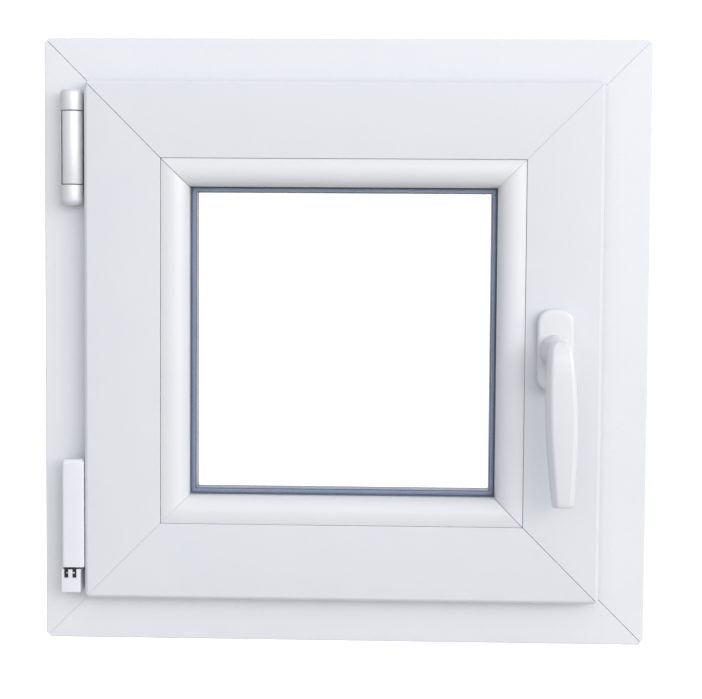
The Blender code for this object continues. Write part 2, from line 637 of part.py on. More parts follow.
def build_corner_hinge_cover():
    """White cover: boxy and rounded in front, round at the back so that it clears the frame."""
    left = -0.0075
    right = 0.0108
    front = -0.0100
    wall = 0.0015
    height = COVER_HIGH - COVER_LOW
    outer = [(right, 0.002), (right, -0.004)]
    outer += [(right - 0.004 + 0.004 * math.cos(a), front + 0.004 + 0.004 * math.sin(a))
              for a in [-math.pi / 2 * i / 5 for i in range(1, 6)]]
    outer += [(left + 0.004 - 0.004 * math.sin(a), front + 0.004 - 0.004 * math.cos(a))
              for a in [math.pi / 2 * i / 5 for i in range(6)]]
    outer += [(left, 0.002), (left + 0.002, 0.0052)]
    inner = [(left + 0.002 + wall, 0.0052), (left + wall, 0.002), (left + wall, front + wall + 0.002),
             (left + wall + 0.002, front + wall), (right - wall - 0.002, front + wall),
             (right - wall, front + wall + 0.002), (right - wall, 0.002)]
    cover = place("corner_hinge_cover", outline_mesh([outer + inner], height),
                  (PIVOT_X, PIVOT_Y, COVER_LOW + height / 2), COVER, TILT_AXIS)
    lap = wall - 0.0002
    lid = rounded_box(left + lap, front + lap, right - lap, 0.0045, 0.002)
    top = cutter("corner_hinge_cover_top", outline_mesh([lid], 0.002),
                 (PIVOT_X, PIVOT_Y, COVER_HIGH - 0.0012))
    combine(cover, top, "UNION")
    smooth(cover, 50)


# ---------------------------------------------------------------- drive in the sash
def build_gearbox(stile):
    """Gearbox pushed through the groove of the lock stile, drilled for the handle."""
    half_y = 0.0057
    wall = 0.002
    back = HANDLE_X - PINION_TIP - 0.0008 - wall
    front = HANDLE_X + PITCH_RADIUS + 0.0016
    low = HANDLE_Z - 0.040
    high = HANDLE_Z + 0.040
    section = [(back, -half_y), (front, -half_y), (front, wall - half_y), (back + wall, wall - half_y),
               (back + wall, half_y - wall), (front, half_y - wall), (front, half_y), (back, half_y)]
    case = place("gearbox_case", outline_mesh([section], high - low), (0, GROOVE_Y, HANDLE_Z),
                 CAST_ZINC, TILT_AXIS)
    pocket = box_cutter("gearbox_pocket", (BODY_RIGHT - 0.0150, GROOVE_Y - 0.0060, low - 0.001),
                        (BODY_RIGHT - 0.0110, GROOVE_Y + 0.0060, high + 0.001))
    combine(stile, pocket, "DIFFERENCE")
    reach = 0.040
    for label, offset, radius in (("spindle", 0, 0.0065), ("upper", SCREW_PITCH, 0.0033),
                                  ("lower", -SCREW_PITCH, 0.0033)):
        drill = cutter(f"handle_hole_{label}", cylinder_mesh(radius, reach, 24),
                       (HANDLE_X, GROOVE_Y + 0.002 - reach / 2, HANDLE_Z + offset), (math.pi / 2, 0, 0))
        combine(stile, drill, "DIFFERENCE")
        combine(case, drill, "DIFFERENCE")


def build_faceplate():
    """Steel strip flush in the groove, with a slot for each cam's travel."""
    low = 0.100
    high = 0.400
    middle = (low + high) / 2
    loops = [rectangle(-0.0077, low - middle, 0.0077, high - middle)]
    for cam in LOCK_CAMS:
        slot_middle = cam - ROD_TRAVEL / 2 - middle
        loops.append(stadium(2 * CAM_RADIUS + 0.001, ROD_TRAVEL + 2 * CAM_RADIUS + 0.002, slot_middle))
    thick = GROOVE_SEAT - 0.0005
    place("lock_faceplate", outline_mesh(loops, thick), (BODY_RIGHT - thick / 2, GROOVE_Y, middle),
          HARDWARE, TILT_AXIS, (math.pi / 2, 0, math.pi / 2))


def rack_outline(low, high):
    """Side view of the lock rod: a strip whose inner edge carries the rack's teeth."""
    inner = -ROD_THICK
    pitch = HANDLE_X + PITCH_RADIUS - ROD_TOP
    tip = pitch - 0.0013
    points = [(0, low), (0, high), (inner, high)]
    for tooth in range(RACK_ABOVE, -RACK_BELOW - 1, -1):
        middle = HANDLE_Z + RACK_PITCH * tooth
        points += [(inner, middle + 0.0018), (tip, middle + 0.0008),
                   (tip, middle - 0.0008), (inner, middle - 0.0018)]
    return points + [(inner, low)]


def cam_union(rod, name, location, rotation, length):
    stud = cutter(name, cylinder_mesh(CAM_RADIUS, length, 24), location, rotation)
    combine(rod, stud, "UNION")


def build_rods():
    low = 0.125
    high = 0.405
    thick = 0.0062
    rod = place("lock_rod", outline_mesh([rack_outline(low, high)], thick), (ROD_TOP, GROOVE_Y, 0),
                HARDWARE, LOCK_AXIS, (math.pi / 2, 0, 0))
    length = CAM_OUT + GROOVE_SEAT + 0.001
    for label, cam in zip(("upper", "lower"), LOCK_CAMS):
        cam_union(rod, f"lock_cam_{label}", (BODY_RIGHT + CAM_OUT - length / 2, GROOVE_Y, cam),
                  (0, math.pi / 2, 0), length)
    half = ROD_WIDE / 2
    strip_top = BODY_TOP - GROOVE_SEAT - 0.0001
    top = box("top_rod", (TOP_CAM - 0.105, GROOVE_Y - half, strip_top - ROD_THICK),
              (TOP_CAM + 0.045, GROOVE_Y + half, strip_top), HARDWARE, TOP_AXIS)
    cam_union(top, "top_cam", (TOP_CAM, GROOVE_Y, BODY_TOP + CAM_OUT - length / 2), (0, 0, 0), length)
    strip_low = BODY_BOTTOM + GROOVE_SEAT + 0.0001
    bottom = box("bottom_rod", (BOTTOM_CAM - 0.150, GROOVE_Y - half, strip_low),
                 (BOTTOM_CAM + 0.070, GROOVE_Y + half, strip_low + ROD_THICK), HARDWARE, BOTTOM_AXIS)
    cam_union(bottom, "bottom_cam", (BOTTOM_CAM, GROOVE_Y, BODY_BOTTOM - CAM_OUT + length / 2),
              (0, 0, 0), length)


def pinion_outline():
    """Gear outline in the plane of the rack, with a gap facing the rack's middle tooth."""
    root = PITCH_RADIUS - 0.0019
    tip = PINION_TIP
    points = []
    for tooth in range(TEETH):
        middle = 2 * math.pi * (tooth + 0.5) / TEETH
        for radius, along in ((root, -0.0016), (tip, -0.0007), (tip, 0.0007), (root, 0.0016)):
            angle = middle + along / radius
            points.append((radius * math.cos(angle), radius * math.sin(angle)))
    return points


# ---------------------------------------------------------------- handle
def build_rosette():
    base = [stadium(0.0254, 0.0620), circle(0.0062, steps=24)]
    base += [circle(0.0028, 0, offset, 20) for offset in (SCREW_PITCH, -SCREW_PITCH)]
    base_thick = 0.0023
    base_front = SASH_ROOM - GAP - base_thick
    place("rosette_base", outline_mesh(base, base_thick), (HANDLE_X, base_front + base_thick / 2, HANDLE_Z),
          CAST_ZINC, TILT_AXIS, (math.pi / 2, 0, 0))
    for label, offset in (("upper", SCREW_PITCH), ("lower", -SCREW_PITCH)):
        head = 0.0022
        start = head + GAP
        end = GROOVE_Y + 0.0033 - base_front
        screw = [(0, start), (0.0036, start), (0.0045, start - 0.0008), (0.0045, GAP), (0.0023, GAP),
                 (0.0023, 0.002 - end), (0.0012, -end), (0, -end)]
        smooth(place(f"handle_screw_{label}", turned_mesh(screw), (HANDLE_X, base_front, HANDLE_Z + offset),
                     HARDWARE, TILT_AXIS, (math.pi / 2, 0, 0)))
    build_rosette_cover()


def build_rosette_cover():
    """Thin shell with rounded ends: an open form with thickness, bored for the spindle."""
    def build(work):
        depth = SASH_ROOM - 0.0004 - ROSETTE_FRONT
        edge = 0.0022
        rows = ((0, 0), (0, depth - edge), (0.0007, depth - 0.0007), (edge, depth))
        loops = []
        for inset, height in rows:
            outline = stadium(ROSETTE_WIDE - 2 * inset, ROSETTE_TALL - 2 * inset)
            loops.append([work.verts.new((x, y, height)) for x, y in outline])
        for lower, upper in zip(loops, loops[1:]):
            for i in range(len(lower)):
                j = (i + 1) % len(lower)
                work.faces.new((lower[i], lower[j], upper[j], upper[i]))
        work.faces.new(loops[-1])
        bmesh.ops.remove_doubles(work, verts=work.verts, dist=0.00001)
    cover = place("rosette_cover", mesh_from(build), (HANDLE_X, SASH_ROOM - 0.0004, HANDLE_Z),
                  LACQUER, TILT_AXIS, (math.pi / 2, 0, 0))
    shell = cover.modifiers.new("shell", "SOLIDIFY")
    shell.thickness = 0.0018
    shell.offset = -1
    bore = cutter("rosette_bore", cylinder_mesh(0.0062, 0.03, 24), (HANDLE_X, ROSETTE_FRONT, HANDLE_Z),
                  (math.pi / 2, 0, 0))
    combine(cover, bore, "DIFFERENCE")
    smooth(cover, 50)


# Height above the spindle, half width, half of the flat front, and depths of front and back from the sash.
LEVER_BACK_DEPTH = LEVER_BACK - SASH_ROOM
LEVER_STATIONS = (
    (0.0040, 0.0086, 0.0054, -0.0440, -0.0330),
    (0.0000, 0.0103, 0.0072, -0.0468, -0.0315),
    (-0.0200, 0.0111, 0.0083, -0.0480, LEVER_BACK_DEPTH),
    (-0.0450, 0.0123, 0.0095, -0.0482, LEVER_BACK_DEPTH),
    (-0.0600, 0.0122, 0.0093, -0.0480, LEVER_BACK_DEPTH),
    (-0.0900, 0.0110, 0.0074, -0.0472, LEVER_BACK_DEPTH),
    (-0.1215, 0.0088, 0.0054, -0.0455, LEVER_BACK_DEPTH - 0.0002),
    (-0.1234, 0.0080, 0.0046, -0.0445, LEVER_BACK_DEPTH - 0.0010),
)


def lever_section(height, half, facet, front, back):
    """Eight-sided section of the grip at one height: a flat front, bevelled sides, a flat back."""
    bevel = (half - facet) * 0.9
    return [(facet, front, height), (half, front + bevel, height), (half, back - 0.003, height),
            (half - 0.003, back, height), (0.003 - half, back, height), (-half, back - 0.003, height),
            (-half, front + bevel, height), (-facet, front, height)]


def build_lever():
    """Tapered neck out of the rosette and a long grip pointing down, bored for the spindle."""
    def build(work):
        loops = [[work.verts.new(p) for p in lever_section(*station)] for station in LEVER_STATIONS]
        for upper, lower in zip(loops, loops[1:]):
            for i in range(len(upper)):
                j = (i + 1) % len(upper)
                work.faces.new((upper[i], upper[j], lower[j], lower[i]))
        work.faces.new(loops[0])
        work.faces.new(loops[-1])
    lever = place("handle_lever", mesh_from(build), (HANDLE_X, SASH_ROOM, HANDLE_Z), LACQUER, HANDLE_AXIS)
    start = ROSETTE_FRONT - GAP
    neck_front = LEVER_BACK - 0.004
    neck_mesh = turned_mesh([(0, start), (0.0128, start), (0.0128, start - 0.003),
                             (0.0095, neck_front + 0.002), (0.0088, neck_front), (0, neck_front)])
    neck_mesh.transform(Matrix.Rotation(-math.pi / 2, 4, "X"))
    neck = cutter("handle_neck", neck_mesh, (HANDLE_X, 0, HANDLE_Z))
    combine(lever, neck, "UNION")
    bore_length = 0.030
    bore_depth = 0.020
    bore = cutter("handle_bore", cylinder_mesh(0.0053, bore_length, 24),
                  (HANDLE_X, start - bore_depth + bore_length / 2, HANDLE_Z), (math.pi / 2, 0, 0))
    combine(lever, bore, "DIFFERENCE")
    smooth(lever, 35)


def build_handle_drive():
    front = ROSETTE_FRONT - 0.019
    back = GROOVE_Y + 0.0033
    half = SPINDLE_SIDE / 2
    box("handle_spindle", (HANDLE_X - half, front, HANDLE_Z - half), (HANDLE_X + half, back, HANDLE_Z + half),
        HARDWARE, HANDLE_AXIS)
    hole = half + GAP
    pinion = outline_mesh([pinion_outline(), rectangle(-hole, -hole, hole, hole)], 0.0064)
    place("gearbox_pinion", pinion, (HANDLE_X, GROOVE_Y, HANDLE_Z), CAST_ZINC, HANDLE_AXIS,
          (math.pi / 2, 0, 0))


build_frame()
build_strikers()
build_upper_bearings()
build_corner_bearing()
build_swivel()
build_stay_arm()
build_slider()
sash_bars = build_sash_profiles()
build_glazing()
build_overlap_gasket()
build_corner_hinge()
build_corner_hinge_cover()
build_gearbox(sash_bars["lock_stile"])
build_faceplate()
build_rods()
build_rosette()
build_lever()
build_handle_drive()
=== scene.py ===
"""Looks of the tilt-and-turn window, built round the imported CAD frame. Metres, +Z up, -Y is the room."""
import json
import math

import bmesh
import bpy
from mathutils import Matrix, Vector


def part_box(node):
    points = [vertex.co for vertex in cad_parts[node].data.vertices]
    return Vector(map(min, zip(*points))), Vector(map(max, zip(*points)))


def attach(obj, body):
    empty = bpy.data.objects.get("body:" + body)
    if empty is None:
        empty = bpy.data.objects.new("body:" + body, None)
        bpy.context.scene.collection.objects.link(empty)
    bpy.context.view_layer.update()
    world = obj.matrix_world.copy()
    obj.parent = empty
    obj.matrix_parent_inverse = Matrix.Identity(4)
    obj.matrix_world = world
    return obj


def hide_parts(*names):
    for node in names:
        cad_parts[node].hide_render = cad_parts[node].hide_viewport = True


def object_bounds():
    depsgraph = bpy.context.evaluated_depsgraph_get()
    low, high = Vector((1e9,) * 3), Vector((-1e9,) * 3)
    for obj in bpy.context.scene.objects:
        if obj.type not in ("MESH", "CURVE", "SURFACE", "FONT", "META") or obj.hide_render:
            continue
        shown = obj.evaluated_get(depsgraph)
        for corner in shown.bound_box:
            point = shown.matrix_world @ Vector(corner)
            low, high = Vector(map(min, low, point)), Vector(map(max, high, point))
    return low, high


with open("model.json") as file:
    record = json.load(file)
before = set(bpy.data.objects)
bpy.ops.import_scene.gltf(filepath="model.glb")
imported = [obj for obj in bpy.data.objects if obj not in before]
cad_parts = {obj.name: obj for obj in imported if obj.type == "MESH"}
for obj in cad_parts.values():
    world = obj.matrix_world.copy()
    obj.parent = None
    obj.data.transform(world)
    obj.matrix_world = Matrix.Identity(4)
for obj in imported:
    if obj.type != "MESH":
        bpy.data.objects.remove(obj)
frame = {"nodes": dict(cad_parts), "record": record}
cad_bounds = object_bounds()

MM = 0.001


# ---------------------------------------------------------------- camera, light and floor
CAMERA_PLACE = (0.0522, -1.4438, 0.3312)
CAMERA_YAW = 1.921           # degrees to the left of +Y
CAMERA_PITCH = -3.520        # degrees, down
CAMERA_ROLL = 0.396          # degrees
CAMERA_LENS = 87.37          # mm, on a 36 mm wide sensor
KEY_FROM = Vector((0.58, -0.78, 0.24)).normalized()    # towards the key: right, front, a little up
KEY_DISTANCE = 10.5          # m
KEY_WIDTH = 15.0             # m
KEY_HEIGHT = 5.0             # m
KEY_ENERGY = 597.0           # W
COOL_FROM = Vector((-0.62, 0.0, 0.78))                 # the dome is cooler from the upper left
DOME_DARK = (0.52, 0.53, 0.55, 1)
DOME_BRIGHT = (1.0, 1.0, 1.0, 1)
DOME_DARK_UNTIL = 0.30       # 0 is straight away from the key, 1 straight towards it
TINT_WARM = (1.0, 0.965, 0.93, 1)
TINT_COOL = (0.93, 0.965, 1.03, 1)
WHITE_BEHIND = 1.25          # what the camera sees past the window


def build_camera():
    data = bpy.data.cameras.new("camera")
    data.lens = CAMERA_LENS
    data.sensor_width = 36.0
    data.clip_end = 60.0
    camera = bpy.data.objects.new("camera", data)
    turn = Matrix.Rotation(math.radians(CAMERA_YAW), 4, "Z")
    lift = Matrix.Rotation(math.radians(90 + CAMERA_PITCH), 4, "X")
    roll = Matrix.Rotation(math.radians(CAMERA_ROLL), 4, "Z")
    camera.matrix_world = Matrix.Translation(CAMERA_PLACE) @ turn @ lift @ roll
    bpy.context.scene.collection.objects.link(camera)
    bpy.context.scene.camera = camera


def seen_by_camera(tree):
    """One for rays from the camera, straight or through glass; zero for rays that light things."""
    path = tree.nodes.new("ShaderNodeLightPath")
    seen = tree.nodes.new("ShaderNodeMath")
    seen.operation = "MAXIMUM"
    tree.links.new(path.outputs["Is Camera Ray"], seen.inputs[0])
    tree.links.new(path.outputs["Is Transmission Ray"], seen.inputs[1])
    return seen.outputs["Value"]


def build_world():
    """A studio dome: brightest towards the key, dim away from it, and white to the eye."""
    world = bpy.data.worlds.new("studio")
    bpy.context.scene.world = world
    world.use_nodes = True
    tree = world.node_tree
    tree.nodes.clear()
    add = tree.nodes.new
    link = tree.links.new
    coords = add("ShaderNodeTexCoord")
    direction = add("ShaderNodeVectorMath")
    direction.operation = "DOT_PRODUCT"
    direction.inputs[1].default_value = KEY_FROM
    link(coords.outputs["Generated"], direction.inputs[0])
    half = add("ShaderNodeMath")
    half.operation = "MULTIPLY_ADD"
    half.inputs[1].default_value = 0.5
    half.inputs[2].default_value = 0.5
    link(direction.outputs["Value"], half.inputs[0])
    ramp = add("ShaderNodeValToRGB")
    ramp.color_ramp.interpolation = "EASE"
    ramp.color_ramp.elements[0].position = DOME_DARK_UNTIL
    ramp.color_ramp.elements[0].color = DOME_DARK
    ramp.color_ramp.elements[1].position = 1.0
    ramp.color_ramp.elements[1].color = DOME_BRIGHT
    link(half.outputs["Value"], ramp.inputs["Fac"])
    dome = add("ShaderNodeBackground")
    dome.inputs["Strength"].default_value = 1.0
    cool = add("ShaderNodeVectorMath")
    cool.operation = "DOT_PRODUCT"
    cool.inputs[1].default_value = COOL_FROM
    link(coords.outputs["Generated"], cool.inputs[0])
    tint = add("ShaderNodeValToRGB")
    tint.color_ramp.elements[0].color = TINT_WARM
    tint.color_ramp.elements[1].color = TINT_COOL
    rise = add("ShaderNodeMath")
    rise.operation = "MULTIPLY_ADD"
    rise.inputs[1].default_value = 0.5
    rise.inputs[2].default_value = 0.5
    link(cool.outputs["Value"], rise.inputs[0])
    link(rise.outputs["Value"], tint.inputs["Fac"])
    shade = add("ShaderNodeMixRGB")
    shade.blend_type = "MULTIPLY"
    shade.inputs["Fac"].default_value = 1.0
    link(ramp.outputs["Color"], shade.inputs["Color1"])
    link(tint.outputs["Color"], shade.inputs["Color2"])
    link(shade.outputs["Color"], dome.inputs["Color"])
    white = add("ShaderNodeBackground")
    white.inputs["Color"].default_value = (1, 1, 1, 1)
    white.inputs["Strength"].default_value = WHITE_BEHIND
    mix = add("ShaderNodeMixShader")
    link(seen_by_camera(tree), mix.inputs["Fac"])
    link(dome.outputs["Background"], mix.inputs[1])
    link(white.outputs["Background"], mix.inputs[2])
    out = add("ShaderNodeOutputWorld")
    link(mix.outputs["Shader"], out.inputs["Surface"])


def build_lights():
    """A large soft key from the right in front, a little above the window."""
    data = bpy.data.lights.new("key", "AREA")
    data.shape = "ELLIPSE"
    data.size = KEY_WIDTH
    data.size_y = KEY_HEIGHT
    data.energy = KEY_ENERGY
    data.color = (1.0, 0.985, 0.965)
    key = bpy.data.objects.new("key", data)
    key.location = Vector((0, 0, 0.25)) + KEY_FROM * KEY_DISTANCE
    key.rotation_euler = KEY_FROM.to_track_quat("Z", "Y").to_euler()
    bpy.context.scene.collection.objects.link(key)


def build_floor():
    """A wide pale floor: white to the eye, with little bounce back up at the window."""
    work = bmesh.new()
    bmesh.ops.create_circle(work, cap_ends=True, segments=96, radius=9.0)
    mesh = bpy.data.meshes.new("floor")
    work.to_mesh(mesh)
    work.free()
    floor = bpy.data.objects.new("floor", mesh)
    floor.location = (0, 0, cad_bounds[0][2] - 0.4 * MM)
    look = bpy.data.materials.new("floor_pale")
    look.use_nodes = True
    tree = look.node_tree
    link = tree.links.new
    shader = tree.nodes["Principled BSDF"]
    noise = tree.nodes.new("ShaderNodeTexNoise")
    noise.inputs["Scale"].default_value = 3.0
    ramp = tree.nodes.new("ShaderNodeValToRGB")
    ramp.color_ramp.elements[0].color = (0.62, 0.60, 0.58, 1)
    ramp.color_ramp.elements[1].color = (0.66, 0.64, 0.62, 1)
    link(noise.outputs["Fac"], ramp.inputs["Fac"])
    link(ramp.outputs["Color"], shader.inputs["Base Color"])
    shader.inputs["Roughness"].default_value = 0.9
    white = tree.nodes.new("ShaderNodeEmission")
    white.inputs["Strength"].default_value = WHITE_BEHIND
    mix = tree.nodes.new("ShaderNodeMixShader")
    link(seen_by_camera(tree), mix.inputs["Fac"])
    link(shader.outputs["BSDF"], mix.inputs[1])
    link(white.outputs["Emission"], mix.inputs[2])
    link(mix.outputs["Shader"], tree.nodes["Material Output"].inputs["Surface"])
    mesh.materials.append(look)
    bpy.context.scene.collection.objects.link(floor)


# ---------------------------------------------------------------- materials
def surface(name, low, high, rough, metallic=0.0, grain=900.0, bump=0.02, stretch=(1, 1, 1),
            coat=0.0, specular=0.5, spots=0.0):
    """A procedural finish: colour between low and high, roughness between two values, fine relief.

    stretch scales the texture space, so a value under 1 draws the grain out along that axis.
    """
    look = bpy.data.materials.new(name)
    look.use_nodes = True
    tree = look.node_tree
    add = tree.nodes.new
    link = tree.links.new
    shader = tree.nodes["Principled BSDF"]
    shader.inputs["Metallic"].default_value = metallic
    shader.inputs["Specular IOR Level"].default_value = specular
    shader.inputs["Coat Weight"].default_value = coat
    shader.inputs["Coat Roughness"].default_value = 0.12
    coords = add("ShaderNodeTexCoord")
    mapping = add("ShaderNodeMapping")
    mapping.inputs["Scale"].default_value = stretch
    link(coords.outputs["Object"], mapping.inputs["Vector"])

    cloud = add("ShaderNodeTexNoise")
    cloud.inputs["Scale"].default_value = 26.0
    cloud.inputs["Detail"].default_value = 5.0
    link(coords.outputs["Object"], cloud.inputs["Vector"])
    fine = add("ShaderNodeTexNoise")
    fine.inputs["Scale"].default_value = grain
    fine.inputs["Detail"].default_value = 3.0
    link(mapping.outputs["Vector"], fine.inputs["Vector"])

    tint = add("ShaderNodeMixRGB")
    tint.inputs["Color1"].default_value = (*low, 1)
    tint.inputs["Color2"].default_value = (*high, 1)
    link(cloud.outputs["Fac"], tint.inputs["Fac"])
    colour = tint.outputs["Color"]
    if spots:
        speck = add("ShaderNodeTexNoise")
        speck.inputs["Scale"].default_value = 420.0
        speck.inputs["Detail"].default_value = 1.0
        link(coords.outputs["Object"], speck.inputs["Vector"])
        few = add("ShaderNodeMapRange")
        few.inputs["From Min"].default_value = 0.70
        few.inputs["From Max"].default_value = 0.78
        few.inputs["To Max"].default_value = spots
        link(speck.outputs["Fac"], few.inputs["Value"])
        dirt = add("ShaderNodeMixRGB")
        dirt.inputs["Color2"].default_value = (low[0] * 0.55, low[1] * 0.55, low[2] * 0.56, 1)
        link(few.outputs["Result"], dirt.inputs["Fac"])
        link(colour, dirt.inputs["Color1"])
        colour = dirt.outputs["Color"]
    link(colour, shader.inputs["Base Color"])

    gloss = add("ShaderNodeMapRange")
    gloss.inputs["From Min"].default_value = 0.30
    gloss.inputs["From Max"].default_value = 0.70
    gloss.inputs["To Min"].default_value = rough[0]
    gloss.inputs["To Max"].default_value = rough[1]
    blend = add("ShaderNodeMath")
    blend.operation = "MULTIPLY_ADD"
    blend.inputs[1].default_value = 0.35
    link(fine.outputs["Fac"], blend.inputs[0])
    soft = add("ShaderNodeMath")
    soft.operation = "MULTIPLY"
    soft.inputs[1].default_value = 0.65
    link(cloud.outputs["Fac"], soft.inputs[0])
    link(soft.outputs["Value"], blend.inputs[2])
    link(blend.outputs["Value"], gloss.inputs["Value"])
    link(gloss.outputs["Result"], shader.inputs["Roughness"])

    relief = add("ShaderNodeBump")
    relief.inputs["Strength"].default_value = 0.35
    relief.inputs["Distance"].default_value = bump * MM
    link(fine.outputs["Fac"], relief.inputs["Height"])
    link(relief.outputs["Normal"], shader.inputs["Normal"])
    return look


def glass_look():
    """Clear float glass with a faint smear; light passes straight through it to what stands behind."""
    look = bpy.data.materials.new("float_glass")
    look.use_nodes = True
    tree = look.node_tree
    add = tree.nodes.new
    link = tree.links.new
    shader = tree.nodes["Principled BSDF"]
    shader.inputs["Base Color"].default_value = (0.985, 0.995, 0.992, 1)
    shader.inputs["Transmission Weight"].default_value = 1.0
    shader.inputs["IOR"].default_value = 1.45
    noise = add("ShaderNodeTexNoise")
    noise.inputs["Scale"].default_value = 9.0
    smear = add("ShaderNodeMapRange")
    smear.inputs["To Max"].default_value = 0.012
    link(noise.outputs["Fac"], smear.inputs["Value"])
    link(smear.outputs["Result"], shader.inputs["Roughness"])
    clear = add("ShaderNodeBsdfTransparent")
    clear.inputs["Color"].default_value = (0.93, 0.95, 0.94, 1)
    path = add("ShaderNodeLightPath")
    straight = add("ShaderNodeMath")
    straight.operation = "MAXIMUM"
    link(path.outputs["Is Shadow Ray"], straight.inputs[0])
    link(path.outputs["Is Diffuse Ray"], straight.inputs[1])
    mix = add("ShaderNodeMixShader")
    link(straight.outputs["Value"], mix.inputs["Fac"])
    link(shader.outputs["BSDF"], mix.inputs[1])
    link(clear.outputs["BSDF"], mix.inputs[2])
    link(mix.outputs["Shader"], tree.nodes["Material Output"].inputs["Surface"])
    return look


UPVC = dict(grain=700.0, bump=0.018, stretch=(0.05, 1, 1), spots=0.10, specular=0.36)
LOOKS = {
    "white_upvc": surface("white_upvc", (0.765, 0.782, 0.822), (0.795, 0.808, 0.84),
                          (0.30, 0.42), **UPVC),
    "sash_upvc": surface("sash_upvc", (0.705, 0.728, 0.765), (0.735, 0.753, 0.785),
                         (0.30, 0.42), **UPVC),
    "bead_upvc": surface("bead_upvc", (0.75, 0.76, 0.79), (0.78, 0.785, 0.81), (0.26, 0.36),
                         grain=700.0, bump=0.012, stretch=(0.05, 1, 1), spots=0.06),
    "white_lacquer": surface("white_lacquer", (0.735, 0.742, 0.765), (0.765, 0.77, 0.79), (0.28, 0.38),
                             grain=1500.0, bump=0.010, coat=0.2),
    "barrel_lacquer": surface("barrel_lacquer", (0.735, 0.742, 0.765), (0.765, 0.77, 0.79),
                              (0.42, 0.50), metallic=0.30, grain=1500.0, bump=0.010),
    "white_cover_plastic": surface("white_cover_plastic", (0.770, 0.79, 0.835), (0.80, 0.815, 0.855),
                                   (0.30, 0.42), grain=1100.0, bump=0.014),
    "galvanised_steel": surface("galvanised_steel", (0.42, 0.43, 0.45), (0.60, 0.61, 0.63),
                                (0.34, 0.56), metallic=1.0, grain=160.0, bump=0.012),
    "zinc_plated_steel": surface("zinc_plated_steel", (0.56, 0.56, 0.57), (0.66, 0.66, 0.68),
                                 (0.24, 0.40), metallic=1.0, grain=900.0, bump=0.012,
                                 stretch=(0.1, 1, 1)),
    "cast_zinc": surface("cast_zinc", (0.40, 0.41, 0.43), (0.52, 0.53, 0.55), (0.38, 0.55),
                         metallic=1.0, grain=1200.0, bump=0.04),
    "grey_gasket": surface("grey_gasket", (0.10, 0.115, 0.16), (0.14, 0.16, 0.21), (0.60, 0.80),
                           grain=1400.0, bump=0.04, specular=0.3),
    "spacer_bar": surface("spacer_bar", (0.23, 0.28, 0.45), (0.29, 0.34, 0.53), (0.34, 0.50),
                          metallic=0.2, grain=600.0, bump=0.01),
    "edge_sealant": surface("edge_sealant", (0.02, 0.022, 0.028), (0.035, 0.038, 0.045), (0.55, 0.75),
                            grain=500.0, bump=0.05),
    "float_glass": glass_look(),
    "setting_block_plastic": surface("setting_block_plastic", (0.03, 0.09, 0.30), (0.05, 0.13, 0.38),
                                     (0.45, 0.60), grain=800.0, bump=0.03),
}
# Two record finishes have a second copy: the sash's profiles a darker copy of the frame's white, the upper
# hinge's barrels a glossier, part-metallic copy of the lacquer.
SLOT_OF_LOOK = {"sash_upvc": "white_upvc", "barrel_lacquer": "white_lacquer"}
SLOT_OF = {part["node"]: part["material_slot"] for part in frame["record"]["subparts"]}


def dress_cad_nodes():
    """Give each carried-over CAD node its finish and soften its sharp edges a little."""
    no_bevel = ("glass_pane_room", "glass_pane_outdoor")
    for name, node in frame["nodes"].items():
        node.data.materials.clear()
        node.data.materials.append(LOOKS[SLOT_OF[name]])
        if name not in no_bevel:
            edge = node.modifiers.new("edge", "BEVEL")
            edge.width = 0.12 * MM
            edge.segments = 1
            edge.limit_method = "ANGLE"
            edge.angle_limit = math.radians(40)


# ---------------------------------------------------------------- shape helpers
WELD = 0.000002              # m, points closer than this are merged
THINNEST = 0.000005          # m, radius that closes the end of a turned shape


def soften(corners, steps=5):
    """A closed outline from corners of (x, y, radius), each rounded by an arc of that radius."""
    points = []
    count = len(corners)
    for i, (x, y, radius) in enumerate(corners):
        here = Vector((x, y))
        if radius <= 0:
            points.append((x, y))
            continue
        before = (Vector(corners[i - 1][:2]) - here).normalized()
        after = (Vector(corners[(i + 1) % count][:2]) - here).normalized()
        half_angle = before.angle(after) / 2
        back = radius / math.tan(half_angle)
        centre = here + (before + after).normalized() * (radius / math.sin(half_angle))
        start = here + before * back - centre
        end = here + after * back - centre
        sweep = start.angle_signed(end)
        for k in range(steps + 1):
            turned = start.copy()
            turned.rotate(Matrix.Rotation(-sweep * k / steps, 2))
            points.append(tuple(centre + turned))
    return points


def to_object(name, mesh, look, body, replaced=(), smooth_angle=35):
    mesh.name = name
    made = bpy.data.objects.new(name, mesh)
    mesh.materials.clear()
    mesh.materials.append(LOOKS[look])
    mesh.shade_smooth()
    mesh.set_sharp_from_angle(angle=math.radians(smooth_angle))
    bpy.context.scene.collection.objects.link(made)
    made["body"] = body
    made["slot"] = SLOT_OF_LOOK.get(look, look)
    made["replaced"] = list(replaced)
    return made


def settle(piece):
    """Hand a finished piece to its body."""
    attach(piece, piece["body"])
    if len(piece["replaced"]):
        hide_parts(*piece["replaced"])
    return piece


